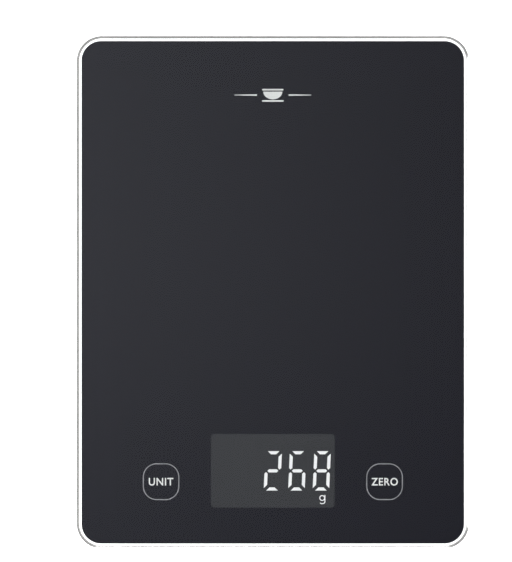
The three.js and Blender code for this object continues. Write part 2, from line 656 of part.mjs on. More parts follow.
function footPad() {
  const { pad, padHeight } = FOOT;
  const edge = FOOT_EDGE.pad;
  return turned([[0, 0], [pad - edge, 0], [pad, edge], [pad, padHeight], [0, padHeight]]);
}

function addFeet() {
  forEachCorner((name, sx, sy) => {
    const [x, y] = [sx * FOOT.x, sy * FOOT.y];
    add(`load_cell_holder_${name}`, loadCellHolder(), FINISH.holder).position.set(x, y, 0);
    add(`load_cell_${name}`, loadCell(), FINISH.steel).position.set(x, y, 0);
    add(`foot_cap_${name}`, footCap(), FINISH.plastic).position.set(x, y, 0);
    add(`foot_pad_${name}`, footPad(), FINISH.rubber).position.set(x, y, 0);
  });
}

// --- screws ----------------------------------------------------------------------------------

function screw({ head, headHeight, shank, base, tip }) {
  const under = base + headHeight;
  const crown = base + SCREW.crownHeight * headHeight;
  const body = solid(turned([
    [0, base], [SCREW.crown * head, base], [head, crown], [head, under], [shank, under],
    [shank, tip - SCREW.point], [0, tip],
  ], SIDES.small));
  const [arm, slot] = [SCREW.cross * head, SCREW.slot * head];
  const deep = base + SCREW.crossDepth * headHeight;
  const cross = join(
    solid(box([-arm, arm], [-slot, slot], base - 1, deep)),
    solid(box([-slot, slot], [-arm, arm], base - 1, deep)),
  );
  return geometryOf(cut(body, cross));
}

function addScrews() {
  CASE_SCREW_AT.forEach(([x, y], i) => {
    add(`housing_screw_${i + 1}`, screw(CASE_SCREW), FINISH.steel).position.set(x, y, 0);
  });
  boardPosts().forEach(([x, y], i) => {
    add(`board_screw_${i + 1}`, screw(BOARD_SCREW), FINISH.steel).position.set(x, y, 0);
  });
}

// --- leads, along the routes that the housing holds them on ----------------------------------

// The last two points of a lead, which comes up square to its pad under the board.
const soldered = (x, y) => [LEAD.gap + LEAD.rise, LEAD.gap].map((below) => [x, y, LEVEL.board - below]);

function addCellLeads() {
  const weld = CELL_PLATE.base + CELL_PLATE.thick + LEAD.gap;
  for (const [side, s] of [['left', -1], ['right', 1]]) {
    const fromBack = [
      [s * 60, 93, weld], [s * 60, 93, 9.4], [s * 57, 84, 11.2], [s * 50, 68, 10.6], [s * 42, 54, 8.6],
      [s * 40, 30, 8.4], [s * 40, -40, 8.4], [s * 32, -56, 8], [s * 22, -63, 7.4], ...soldered(s * 20, -66),
    ];
    const fromFront = [
      [s * 60, -80, weld], [s * 60, -80, 10.6], [s * 57, -71, 11.2], [s * 46, -66.5, 9.8],
      [s * 38, -71, 8], [s * 28, -75, 7.4], ...soldered(s * 26, -77),
    ];
    add(`load_cell_lead_back_${side}`, lead(fromBack, LEAD.cell, 18), FINISH.greyLead);
    add(`load_cell_lead_front_${side}`, lead(fromFront, LEAD.cell, 12), FINISH.greyLead);
  }
}

function addBatteryLeads() {
  const weld = CONTACT.tabZ - LEAD.gap;
  const x = CONTACT.tabReach - LEAD.battery - LEAD.gap;
  for (const [name, s, finish] of [['positive', 1, FINISH.redLead], ['negative', -1, FINISH.blackLead]]) {
    const y = BAY.y - s * AAA.pitch;
    const route = [
      [s * x, y, weld], [s * x, y, 9.6], [s * (x + 1), y - 8, 8.2], [s * x, -30, 8],
      [s * 16, -54, 8], [s * 12, -62, 7.4], ...soldered(s * 10, -66),
    ];
    add(`battery_lead_${name}`, lead(route, LEAD.battery, 14), finish);
  }
}

add('platform_glass', platformGlass(), FINISH.glass);
add('glass_print', glassPrint(), FINISH.ink);
add('glass_tape', glassTape(), FINISH.tape);
add('upper_frame', upperFrame(), FINISH.plastic);
add('lower_cover', lowerCover(), FINISH.plastic);
add('battery_cover', batteryCover(), FINISH.plastic);
addCells();
addContacts();
addElectronics();
addFeet();
addScrews();
addCellLeads();
addBatteryLeads();

export default scale;
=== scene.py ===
import math

import bmesh
import bpy
from mathutils import Matrix, Vector


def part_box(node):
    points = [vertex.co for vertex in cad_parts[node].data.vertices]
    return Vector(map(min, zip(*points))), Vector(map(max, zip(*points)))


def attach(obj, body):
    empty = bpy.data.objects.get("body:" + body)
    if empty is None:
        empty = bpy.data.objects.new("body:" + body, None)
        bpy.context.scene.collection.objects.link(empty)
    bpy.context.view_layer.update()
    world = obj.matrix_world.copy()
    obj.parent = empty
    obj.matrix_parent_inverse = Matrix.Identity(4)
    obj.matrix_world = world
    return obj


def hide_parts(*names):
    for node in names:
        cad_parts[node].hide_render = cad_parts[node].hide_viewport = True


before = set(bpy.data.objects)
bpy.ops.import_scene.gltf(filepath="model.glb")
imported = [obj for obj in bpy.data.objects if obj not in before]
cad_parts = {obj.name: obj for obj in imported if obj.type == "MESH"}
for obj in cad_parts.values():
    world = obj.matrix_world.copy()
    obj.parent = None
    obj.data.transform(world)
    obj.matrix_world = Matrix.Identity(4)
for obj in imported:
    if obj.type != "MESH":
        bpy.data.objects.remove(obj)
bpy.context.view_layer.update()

MM = 0.001
HOUSING = "housing"
CORNERS = [(end, side) for end in ("front", "back") for side in ("left", "right")]

# ---------------------------------------------------------------------------------------------
# Places and sizes, in metres. What the frame knows is read from it.
# ---------------------------------------------------------------------------------------------


def mm(*lengths):
    return [length * MM for length in lengths]


def corners_of(node):
    return [Vector(corner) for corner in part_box(node)]


def centre_of(node):
    low, high = corners_of(node)
    return (low + high) / 2


def in_mm(points):
    return [mm(*point) for point in points]


def size_of(node):
    low, high = corners_of(node)
    return high - low


GLASS_LOW, GLASS_HIGH = corners_of("platform_glass")
GLASS_CORNER = 11.2 * MM
PRINT = size_of("glass_print")
GLASS_ARRIS = Vector((0.92, 0.74)) * MM  # in from the edge, and down from the face
PRINT_CORNER = 8.6 * MM
INK_SINK = 0.05 * MM  # how far the ink's face lies inside the glass, so that no air shows between
INK_THICK = 0.13 * MM
MARK_THICK = 0.02 * MM

FILTER_LOW, FILTER_HIGH = corners_of("display_filter")
DISPLAY_BACK = 0.45 * MM  # how far the window lies behind the middle of the filter's place
DISPLAY = Vector((0, (FILTER_LOW.y + FILTER_HIGH.y) / 2 + DISPLAY_BACK, FILTER_HIGH.z))
WINDOW = mm(54.6, 32.5, 1.7)
DIGIT_PITCH = 10.8 * MM
DIGIT_WIDTH = 7.3 * MM
DIGIT_HEIGHT = 17.4 * MM
BAR_WIDTH = 1.4 * MM
CORNER_CUT = 1.1 * MM  # how far short of the digit's corner a bar's outer edge ends
JOINT_GAP = 0.55 * MM  # from the middle of a joint to the point of a bar
DIGIT_SLANT = 0.045
BARS_OF = {"2": "abged", "6": "afgedc", "8": "abcdefg", " ": ""}  # a is the top bar, and g the middle one
DIGITS_SHOWN = "  268"
UNIT_SIGN = mm(21.85, -91.6)
KEYS = {"unit": ("UNIT", 10.85 * MM), "zero": ("ZERO", 11.7 * MM)}  # what each says, and how wide
KEY_AT = mm(49.35, -83.65)
KEY_RING = mm(15.7, 15.8, 5.9)
KEY_LINE = 0.44 * MM
KEY_WORD_HEIGHT = 3.4 * MM
MARK_Y = 87.7 * MM

COVER_LOW, COVER_HIGH = corners_of("lower_cover")
FRAME_TOP = corners_of("upper_frame")[1].z
SHELL = (COVER_HIGH.x * 2, COVER_HIGH.y * 2, 8 * MM)
FLOOR_TOP = COVER_LOW.z + 2 * MM
COVER_RIM = 9.4 * MM
SKIRT_LOW = 9.5 * MM
PLATE_LOW = FRAME_TOP - 1.6 * MM
WALL = 2 * MM
SKIRT_WALL = 1.6 * MM
DRAFT = 4 * MM  # how far the cover's side comes in from its rim to its floor
CHAMFER = 0.25 * MM  # half the width and the depth of a hole's chamfer

DOOR_LOW = corners_of("battery_cover")[0].z
DOOR_HALF = mm(27.4, 19)
BAY_Y = 12 * MM  # the middle of the battery bay
DOOR_TOP = DOOR_LOW + 1.4 * MM
BAY_HALF = mm(25.4, 17.2)
BAY_CEILING = 15.4 * MM
DOOR_GAP = 0.3 * MM
WELL_HALF = 6.2 * MM  # of the latch's well along X
TAB_X, TAB_HALF = 20, 3  # of the door's two tabs, in millimetres
CONTACT_Y = 11.2 * MM  # of the end contacts, from the middle of the bay
TOUCH_SPRING_AT = mm(49.5, -84)
SPRING_WIRE = 0.3 * MM
PAST = 1 * MM  # how far a cutter reaches past what it cuts
LABEL = mm(66, 24, 2)
LABEL_AT = (0, 64 * MM)
LABEL_DEPTH = 0.3 * MM

# ---------------------------------------------------------------------------------------------
# Mesh work
# ---------------------------------------------------------------------------------------------


def rounded(width, length, corner, segments, at=(0, 0)):
    """The points of a rectangle with round corners, anticlockwise."""
    points = []
    for turn, (sx, sy) in enumerate(((1, 1), (-1, 1), (-1, -1), (1, -1))):
        cx, cy = at[0] + sx * (width / 2 - corner), at[1] + sy * (length / 2 - corner)
        for i in range(segments + 1):
            angle = (turn + i / segments) * math.pi / 2
            points.append((cx + corner * math.cos(angle), cy + corner * math.sin(angle)))
    return points


def circle(radius, segments, at):
    turn = 2 * math.pi / segments
    return [(at[0] + radius * math.cos(i * turn), at[1] + radius * math.sin(i * turn))
            for i in range(segments)]


def new_piece(name, bm, smooth_angle=30, closed=True):
    if closed:
        bmesh.ops.recalc_face_normals(bm, faces=bm.faces)
    mesh = bpy.data.meshes.new(name)
    bm.to_mesh(mesh)
    bm.free()
    return shade(new_object(name, mesh), smooth_angle)


def new_object(name, data):
    made = bpy.data.objects.new(name, data)
    bpy.context.scene.collection.objects.link(made)
    return made


def shade(piece, smooth_angle=30):
    piece.data.polygons.foreach_set("use_smooth", [True] * len(piece.data.polygons))
    piece.data.set_sharp_from_angle(angle=math.radians(smooth_angle))
    return piece


def skin(bm, low, high):
    """Faces between two closed rows of as many points."""
    for i in range(len(low)):
        j = (i + 1) % len(low)
        bm.faces.new((low[i], low[j], high[j], high[i]))


def add_loft(bm, rings):
    """A closed skin through rings of (points, z), with a flat face on the first and the last."""
    rows = [[bm.verts.new((x, y, z)) for x, y in points] for points, z in rings]
    for low, high in zip(rows, rows[1:]):
        skin(bm, low, high)
    bm.faces.new(list(reversed(rows[0])))
    bm.faces.new(rows[-1])


def loft(name, rings, smooth_angle=30):
    bm = bmesh.new()
    add_loft(bm, rings)
    return new_piece(name, bm, smooth_angle)


def prisms(name, outlines, low, high):
    """Upright prisms, apart from one another, as one mesh."""
    bm = bmesh.new()
    for points in outlines:
        add_loft(bm, [(points, low), (points, high)])
    return new_piece(name, bm)


def band(name, outer, inner, low, high):
    """A flat ring between two outlines that have as many points as each other."""
    bm = bmesh.new()
    loops = [[bm.verts.new((x, y, z)) for x, y in points]
             for points, z in ((outer, low), (outer, high), (inner, high), (inner, low))]
    for a, b in zip(loops, loops[1:] + loops[:1]):
        skin(bm, a, b)
    return new_piece(name, bm)


def box_between(name, low, high):
    x, y = (low[0], high[0]), (low[1], high[1])
    return prisms(name, [[(x[0], y[0]), (x[1], y[0]), (x[1], y[1]), (x[0], y[1])]], low[2], high[2])


def turned(name, profile, segments, smooth_angle=30, at=(0, 0, 0), with_uv=False):
    """Turns (radius, height) pairs, which start and end on the axis, about a line along Z."""
    bm = bmesh.new()
    rows = []
    for radius, z in profile:
        points = circle(radius, segments, at) if radius else [(at[0], at[1])]
        rows.append([bm.verts.new((x, y, at[2] + z)) for x, y in points])
    for low, high in zip(rows, rows[1:]):
        if len(low) == len(high):
            skin(bm, low, high)
            continue
        for i in range(segments):
            j = (i + 1) % segments
            bm.faces.new((low[0], high[j], high[i]) if len(low) == 1 else (low[i], low[j], high[0]))
    if with_uv:
        wrap_round(bm, max(z for _, z in profile))
    return new_piece(name, bm, smooth_angle)


def wrap_round(bm, height):
    """U goes round the axis through the origin, and V along it, from 0 at the foot to 1 at the top."""
    layer = bm.loops.layers.uv.new("wrap")
    full = 2 * math.pi
    for face in bm.faces:
        middle = face.calc_center_median()
        around = math.atan2(middle.y, middle.x)
        for loop in face.loops:
            x, y, z = loop.vert.co
            angle = math.atan2(y, x)
            angle += full * round((around - angle) / full)
            loop[layer].uv = (angle / full + 0.5, z / height)


def across(name, section, low, high):
    """A section drawn in Y and Z, made solid from low to high along X."""
    bm = bmesh.new()
    ends = [[bm.verts.new((x, y, z)) for y, z in section] for x in (low, high)]
    skin(bm, *ends)
    bm.faces.new(list(reversed(ends[0])))
    bm.faces.new(ends[1])
    return new_piece(name, bm)


def bake_modifiers(piece):
    """Leaves the piece as the plain mesh that its modifiers make."""
    graph = bpy.context.evaluated_depsgraph_get()
    mesh = bpy.data.meshes.new_from_object(piece.evaluated_get(graph))
    piece.modifiers.clear()
    old, piece.data = piece.data, mesh
    bpy.data.meshes.remove(old)


def combine(piece, tools, operation):
    for tool in tools:
        step = piece.modifiers.new(operation, "BOOLEAN")
        step.operation = operation
        step.solver = "EXACT"
        step.object = tool
    bake_modifiers(piece)
    for tool in tools:
        bpy.data.objects.remove(tool)


def cut(piece, *tools):
    combine(piece, tools, "DIFFERENCE")


def join(piece, *tools):
    combine(piece, tools, "UNION")


def tidy_mesh(piece, smooth_angle=30):
    """Drops doubles and slivers that the cutting left."""
    double, sliver = 2e-6, 1e-6
    bm = bmesh.new()
    bm.from_mesh(piece.data)
    bmesh.ops.remove_doubles(bm, verts=bm.verts, dist=double)
    bmesh.ops.dissolve_degenerate(bm, edges=bm.edges, dist=sliver)
    bm.to_mesh(piece.data)
    bm.free()
    shade(piece, smooth_angle)


def turn_piece(piece, matrix):
    piece.data.transform(matrix)
    if matrix.determinant() < 0:
        piece.data.flip_normals()


def laid_along_x(piece, at, side):
    """Turns a piece that stands on the origin to lie along X, its top towards side."""
    turn_piece(piece, Matrix.Translation(at) @ Matrix.Rotation(side * math.pi / 2, 4, "Y"))


def flared(outline, surface, depth):
    """Rings of a cutter whose mouth, on a downward face at height surface, is chamfered."""
    return [(outline(2 * CHAMFER), surface - CHAMFER), (outline(0), surface + CHAMFER),
            (outline(0), surface + depth)]


def set_material(piece, material):
    piece.data.materials.clear()
    piece.data.materials.append(material)


def place(piece, material, body=HOUSING, stands_for=()):
    set_material(piece, material)
    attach(piece, body)
    if stands_for:
        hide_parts(*stands_for)


# ---------------------------------------------------------------------------------------------
# Node trees: a coiled wire, a wire along a line, and one piece set out on a list of points
# ---------------------------------------------------------------------------------------------


def fill(tree, socket, value):
    """Gives a socket its value, or a link when the value is another node's socket."""
    if isinstance(value, bpy.types.NodeSocket):
        tree.links.new(value, socket)
    else:
        socket.default_value = value


def fill_inputs(tree, node, **inputs):
    for label, value in inputs.items():
        fill(tree, node.inputs[label.replace("_", " ")], value)
    return node


def add_node(tree, kind, **inputs):
    return fill_inputs(tree, tree.nodes.new(kind), **inputs)


def new_tree(name, inputs):
    """A tree that takes these inputs and a material, and where it reads them."""
    tree = bpy.data.node_groups.new(name, "GeometryNodeTree")
    for label, kind in {"Geometry": "Geometry", **inputs, "Material": "Material"}.items():
        tree.interface.new_socket(label, in_out="INPUT", socket_type=f"NodeSocket{kind}")
    tree.interface.new_socket("Geometry", in_out="OUTPUT", socket_type="NodeSocketGeometry")
    return tree, tree.nodes.new("NodeGroupInput").outputs


def end_tree(tree, given, geometry):
    realized = add_node(tree, "GeometryNodeRealizeInstances", Geometry=geometry)
    coloured = add_node(tree, "GeometryNodeSetMaterial", Geometry=realized.outputs["Geometry"],
                        Material=given["Material"])
    add_node(tree, "NodeGroupOutput", Geometry=coloured.outputs["Geometry"])
    return tree


def end_round(tree, given, line, radius, sides):
    """Ends a tree with a round wire along its line."""
    section = add_node(tree, "GeometryNodeCurvePrimitiveCircle", Resolution=sides, Radius=radius)
    tube = add_node(tree, "GeometryNodeCurveToMesh", Curve=line.outputs["Curve"],
                    Profile_Curve=section.outputs["Curve"], Fill_Caps=True)
    return end_tree(tree, given, tube.outputs["Mesh"])


def coil_tree():
    tree, given = new_tree("coiled_wire", {"Turns": "Float", "Foot Radius": "Float", "Top Radius": "Float",
                                           "Height": "Float", "Wire Radius": "Float"})
    spiral = add_node(tree, "GeometryNodeCurveSpiral", Resolution=40, Rotations=given["Turns"],
                      Start_Radius=given["Foot Radius"], End_Radius=given["Top Radius"],
                      Height=given["Height"])
    return end_round(tree, given, spiral, given["Wire Radius"], 12)


def wire_tree():
    tree, given = new_tree("wire", {"Radius": "Float"})
    line = add_node(tree, "GeometryNodeMeshToCurve", Mesh=given["Geometry"])
    return end_round(tree, given, line, given["Radius"], 10)


def setting_out_tree():
    tree, given = new_tree("set_out", {"Piece": "Object"})
    pattern = add_node(tree, "GeometryNodeObjectInfo", Object=given["Piece"])
    spread = add_node(tree, "GeometryNodeInstanceOnPoints", Points=given["Geometry"],
                      Instance=pattern.outputs["Geometry"])
    return end_tree(tree, given, spread.outputs["Instances"])


def grow(name, tree, values, points=(), edges=()):
    """The plain mesh that the tree makes from these named inputs, on these points and lines."""
    mesh = bpy.data.meshes.new(name)
    mesh.from_pydata(points or [(0, 0, 0)], edges, [])
    piece = new_object(name, mesh)
    step = piece.modifiers.new("grow", "NODES")
    step.node_group = tree
    sockets = {s.name: s.identifier for s in tree.interface.items_tree if s.in_out == "INPUT"}
    for label, value in values.items():
        step[sockets[label]] = value
    bake_modifiers(piece)
    return piece


def set_out(name, pattern, points, material, stands_for=()):
    """One mesh of the pattern at each of the points."""
    piece = grow(name, SET_OUT, {"Piece": pattern, "Material": material}, points)
    bpy.data.objects.remove(pattern)
    place(shade(piece), material, stands_for=stands_for)


# ---------------------------------------------------------------------------------------------
# Finishes
# ---------------------------------------------------------------------------------------------


class Finish:
    """A material being wired up: short ways to add nodes and join them to its shader."""

    def __init__(self, name, colour, roughness, metallic=0.0, **more):
        self.material = bpy.data.materials.new(name)
        self.material.use_nodes = True
        self.tree = self.material.node_tree
        self.shader = self.tree.nodes["Principled BSDF"]
        self.set(Base_Color=(*colour, 1), Roughness=roughness, Metallic=metallic, **more)

    def set(self, **inputs):
        fill_inputs(self.tree, self.shader, **inputs)

    def node(self, kind, **inputs):
        return add_node(self.tree, kind, **inputs)

    def group(self, tree, **inputs):
        made = self.tree.nodes.new("ShaderNodeGroup")
        made.node_tree = tree
        return fill_inputs(self.tree, made, **inputs)

    def place_from(self, coordinates):
        return self.node("ShaderNodeTexCoord").outputs[coordinates]

    def stretched(self, scale):
        return self.node("ShaderNodeMapping", Scale=scale, Vector=self.place_from("Object")).outputs["Vector"]

    def noise(self, scale, detail, vector=None):
        return self.node("ShaderNodeTexNoise", Scale=scale, Detail=detail,
                         Vector=vector or self.place_from("Object")).outputs["Fac"]

    def between(self, value, low, high):
        """The value, which runs from 0 to 1, stretched to run from low to high."""
        return self.node("ShaderNodeMapRange", Value=value, To_Min=low, To_Max=high).outputs["Result"]

    def math(self, operation, *values):
        return reckoned(self.tree, operation, *values)

    def mix(self, fac, first, second):
        return mixed(self.tree, fac, first, second)

    def bump(self, height, distance):
        self.set(Normal=self.node("ShaderNodeBump", Height=height, Distance=distance).outputs["Normal"])

    def clear_where(self, fac, tint=(1, 1, 1)):
        """Lets light straight through, tinted, where fac is 1."""
        clear = self.node("ShaderNodeBsdfTransparent", Color=(*tint, 1))
        both = self.node("ShaderNodeMixShader", Fac=fac)
        self.tree.links.new(self.shader.outputs["BSDF"], both.inputs[1])
        self.tree.links.new(clear.outputs["BSDF"], both.inputs[2])
        fill_inputs(self.tree, self.tree.nodes["Material Output"], Surface=both.outputs["Shader"])


def reckoned(tree, operation, *values):
    made = tree.nodes.new("ShaderNodeMath")
    made.operation = operation
    for socket, value in zip(made.inputs, values):
        fill(tree, socket, value)
    return made.outputs["Value"]


def mixed(tree, fac, first, second):
    """A mix of two colours, each of them red, green and blue or another node's socket."""
    made = add_node(tree, "ShaderNodeMix", Factor=fac)
    made.data_type = "RGBA"
    for socket, colour in ((made.inputs[6], first), (made.inputs[7], second)):
        fill(tree, socket, (*colour, 1) if isinstance(colour, tuple) else colour)
    return made.outputs[2]


def times(colour, factor):
    return tuple(factor * c for c in colour)


def effect_group(name, inputs, outputs):
    """A shader group with these inputs and their values, what it reads, what it gives, and Object space."""
    tree = bpy.data.node_groups.new(name, "ShaderNodeTree")
    for label, value in inputs.items():
        tree.interface.new_socket(label, in_out="INPUT", socket_type="NodeSocketFloat").default_value = value
    for label in outputs:
        tree.interface.new_socket(label, in_out="OUTPUT", socket_type="NodeSocketFloat")
    given, result = tree.nodes.new("NodeGroupInput"), tree.nodes.new("NodeGroupOutput")
    return tree, given.outputs, result, tree.nodes.new("ShaderNodeTexCoord").outputs["Object"]


def moulded_grain():
    """Spark-eroded mould texture: tiny pits, and a slow drift in tone."""
    tree, given, result, here = effect_group(
        "moulded_grain", {"Scale": 2500.0, "Drift Scale": 60.0}, ["Height", "Tone"])
    pits = add_node(tree, "ShaderNodeTexVoronoi", Vector=here, Scale=given["Scale"])
    fine = add_node(tree, "ShaderNodeTexNoise", Vector=here, Scale=given["Scale"], Detail=4.0)
    drift = add_node(tree, "ShaderNodeTexNoise", Vector=here, Scale=given["Drift Scale"], Detail=2.0)
    height = reckoned(tree, "ADD", pits.outputs["Distance"], fine.outputs["Fac"])
    fill_inputs(tree, result, Height=height, Tone=drift.outputs["Fac"])
    return tree


def light_handling():
    """Faint smears and specks left by hands, as a mask."""
    tree, given, result, here = effect_group("light_handling", {"Scale": 30.0, "Amount": 0.5}, ["Mask"])
    smears = add_node(tree, "ShaderNodeTexNoise", Vector=here, Scale=given["Scale"], Detail=6.0,
                      Distortion=1.2)
    spread = add_node(tree, "ShaderNodeMapRange", Value=smears.outputs["Fac"], From_Min=0.45, From_Max=0.75)
    fill_inputs(tree, result, Mask=reckoned(tree, "MULTIPLY", spread.outputs["Result"], given["Amount"]))
    return tree


GRAIN = moulded_grain()
HANDLING = light_handling()
COIL = coil_tree()
SET_OUT = setting_out_tree()
WIRE = wire_tree()


def platform_glass_finish():
    """Tempered float glass with faint waves in its faces, and a rough ground edge whose dark tint is painted
    shade.
    """
    clear_tint, edge_shade_tint = (0.975, 0.99, 0.985), (0.066, 0.064, 0.061)
    glass = Finish("tempered_glass", clear_tint, 0.0, IOR=1.52, Transmission_Weight=1.0)
    glass.bump(glass.noise(22.0, 0.0), 0.004 * MM)
    attribute = glass.node("ShaderNodeAttribute")
    attribute.attribute_name = "ground"
    ground = attribute.outputs["Fac"]
    # The ground faces' near-black tint is painted shade: it greys the glass's outline.
    glass.set(Base_Color=glass.mix(ground, clear_tint, edge_shade_tint),
              Roughness=glass.math("MULTIPLY", ground, 0.2))
    glass.clear_where(glass.node("ShaderNodeLightPath").outputs["Is Shadow Ray"], (0.95, 0.97, 0.96))
    return glass.material


def moulded(name, colour, roughness, scale=2500.0, depth=0.02 * MM, drift=0.25, **more):
    """A moulded or cast surface, whose tone drifts a little from place to place."""
    spread = 0.06
    finish = Finish(name, colour, roughness, **more)
    grain = finish.group(GRAIN, Scale=scale)
    tone = grain.outputs["Tone"]
    finish.set(Base_Color=finish.mix(tone, times(colour, 1 - drift), times(colour, 1 + drift)),
               Roughness=finish.between(tone, roughness - spread, roughness + spread))
    finish.bump(grain.outputs["Height"], depth)
    return finish.material


def printed(name, colour):
    """Ink fired on to glass: no gloss of its own, and a trace of screen grain."""
    finish = Finish(name, colour, 0.6, Specular_IOR_Level=0.0)
    speckle = finish.noise(900.0, 2.0)
    finish.set(Base_Color=finish.mix(speckle, times(colour, 0.9), times(colour, 1.1)))
    return finish.material


def lit_bar_finish():
    """A light guide lit from behind: white, a little uneven along the bar."""
    finish = Finish("lit_bar", (0.05, 0.05, 0.05), 0.5, Emission_Strength=0.82)
    finish.material.cycles.emission_sampling = "NONE"
    finish.set(Emission_Color=finish.mix(finish.noise(160.0, 1.0), (0.84, 0.86, 0.9), (1.0, 1.0, 1.0)))
    return finish.material


def metal(name, colour, roughness, stretch=(40, 2000, 2000)):
    """Bare metal with fine drawn or rolled marks, duller where it has been handled."""
    spread, handled, darkest = 0.08, 0.12, 0.88
    finish = Finish(name, colour, roughness, 1.0)
    grain = finish.noise(1.0, 4.0, finish.stretched(stretch))
    wear = finish.group(HANDLING, Scale=120.0, Amount=1.0)
    dulled = finish.math("ADD", finish.between(grain, roughness - spread, roughness + spread),
                         finish.math("MULTIPLY", wear.outputs["Mask"], handled))
    finish.set(Base_Color=finish.mix(grain, times(colour, darkest), colour), Roughness=dulled)
    finish.bump(grain, 0.003 * MM)
    return finish.material


def circuit_board_finish(name, colour):
    """Solder mask over the glass weave of a board, glossy."""
    board = Finish(name, colour, 0.3, Coat_Weight=0.3)
    weave = board.noise(1.0, 2.0, board.stretched((900, 2400, 900)))
    board.set(Base_Color=board.mix(weave, times(colour, 0.8), times(colour, 1.2)),
              Roughness=board.between(weave, 0.24, 0.36))
    board.bump(weave, 0.01 * MM)
    return board.material


def battery_finish():
    """A dark green sleeve with a copper-coloured band at the positive end, on bare steel ends."""
    foot, band_low, top, line_half = 0.012, 0.76, 0.968, 0.006  # along the cell, whose length is 1
    cell = Finish("battery_sleeve", (0.02, 0.09, 0.06), 0.3, Coat_Weight=0.4)
    along = cell.node("ShaderNodeSeparateXYZ", Vector=cell.place_from("UV")).outputs["Y"]

    def above(height):
        return cell.math("GREATER_THAN", along, height)

    def below(height, value=along):
        return cell.math("LESS_THAN", value, height)

    steel = cell.math("ADD", below(foot), above(top))
    copper = cell.math("MULTIPLY", above(band_low), below(top))
    from_line = cell.math("ABSOLUTE", cell.math("SUBTRACT", along, band_low - 0.005))
    weave = cell.noise(300.0, 2.0)
    sleeve = cell.mix(weave, (0.012, 0.07, 0.045), (0.02, 0.1, 0.065))
    banded = cell.mix(copper, sleeve, (0.5, 0.23, 0.1))
    striped = cell.mix(below(line_half, from_line), banded, (0.75, 0.75, 0.72))
    cell.set(Base_Color=cell.mix(steel, striped, (0.6, 0.6, 0.58)), Roughness=cell.between(steel, 0.3, 0.38),
             Metallic=cell.math("MAXIMUM", steel, cell.math("MULTIPLY", copper, 0.8)))
    cell.bump(weave, 0.004 * MM)
    return cell.material


ABS = moulded("black_abs", (0.011, 0.011, 0.012), 0.5)
ABS_DOOR = moulded("black_abs_door", (0.012, 0.012, 0.013), 0.5)
RUBBER = moulded("foot_rubber", (0.03, 0.03, 0.031), 0.8, scale=1600.0, depth=0.03 * MM)
FILTER = moulded("smoked_filter", (0.0168, 0.0174, 0.0195), 0.4, scale=700.0, depth=0.001 * MM,
                 drift=0.04, Specular_IOR_Level=0.0)
BLOCK = moulded("display_block", (0.02, 0.02, 0.022), 0.6)
HOLDER = moulded("holder_plastic", (0.62, 0.62, 0.6), 0.5)
CHIP = moulded("chip_plastic", (0.012, 0.012, 0.012), 0.55, scale=4000.0)
CAN = moulded("capacitor_sleeve", (0.02, 0.035, 0.1), 0.35)
TAPE = moulded("foam_tape", (0.02, 0.02, 0.02), 0.9, scale=900.0, depth=0.05 * MM)
LEAD_GREY = moulded("lead_grey", (0.25, 0.25, 0.25), 0.55, scale=1200.0)
LEAD_RED = moulded("lead_red", (0.3, 0.015, 0.012), 0.5, scale=1200.0)
LEAD_BLACK = moulded("lead_black", (0.012, 0.012, 0.012), 0.5, scale=1200.0)
INK = printed("black_ink", (0.0015, 0.0015, 0.0042))
WHITE_INK = printed("white_ink", (0.44, 0.44, 0.44))
RING_INK = printed("grey_ink", (0.155, 0.155, 0.165))
SPRING = metal("spring_steel", (0.62, 0.62, 0.62), 0.25, (400, 400, 400))
CONTACT = metal("nickelled_steel", (0.66, 0.64, 0.58), 0.3, (60, 60, 1500))
SCREW = metal("zinc_screw", (0.5, 0.5, 0.5), 0.35, (900, 900, 900))
FOIL = metal("label_foil", (0.42, 0.42, 0.43), 0.5, (60, 1800, 1800))
SOLDER = metal("solder", (0.62, 0.62, 0.64), 0.3, (700, 700, 700))
BOARD_MASK = circuit_board_finish("solder_mask", (0.012, 0.075, 0.03))
TRACK_MASK = circuit_board_finish("mask_over_copper", (0.035, 0.17, 0.07))
CERAMIC = moulded("resistor_body", (0.025, 0.025, 0.028), 0.35, scale=4000.0)
GAUGE = moulded("gauge_film", (0.36, 0.19, 0.05), 0.3, scale=4000.0)
CELL_STEEL = metal("load_cell_steel", (0.58, 0.58, 0.57), 0.35)

# ---------------------------------------------------------------------------------------------
# Glass, ink and display
# ---------------------------------------------------------------------------------------------


def platform_glass():
    """A plate whose edge is ground flat, with a ground arris along each face."""
    width, length = 2 * GLASS_HIGH.x, 2 * GLASS_HIGH.y
    soft = 0.03 * MM
    edge = [(GLASS_ARRIS.x + soft, 0), (GLASS_ARRIS.x - soft, soft), (soft, GLASS_ARRIS.y - soft),
            (0, GLASS_ARRIS.y + soft)]
    levels = [(inset, GLASS_LOW.z + rise) for inset, rise in edge]
    levels += [(inset, GLASS_HIGH.z - rise) for inset, rise in reversed(edge)]
    plate = loft("glass_plate", [(rounded(width - 2 * inset, length - 2 * inset, GLASS_CORNER - inset, 24), z)
                                 for inset, z in levels], 12)
    polished = 0.95  # a face that looks this far up or down isn't ground
    ground = plate.data.attributes.new("ground", "FLOAT", "FACE")
    ground.data.foreach_set("value", [float(abs(face.normal.z) < polished) for face in plate.data.polygons])
    place(plate, platform_glass_finish(), stands_for=["platform_glass"])


def ink_sheet():
    """The print with its window; gives the height of its upper face."""
    top = GLASS_LOW.z + INK_SINK
    outline = rounded(PRINT.x, PRINT.y, PRINT_CORNER, 20)
    sheet = loft("ink_sheet", [(outline, top - INK_THICK), (outline, top)])
    cut(sheet, prisms("window", [rounded(*WINDOW, 10, DISPLAY)], top - PAST, top + PAST))
    tidy_mesh(sheet)
    place(sheet, INK, stands_for=["glass_print"])
    return top


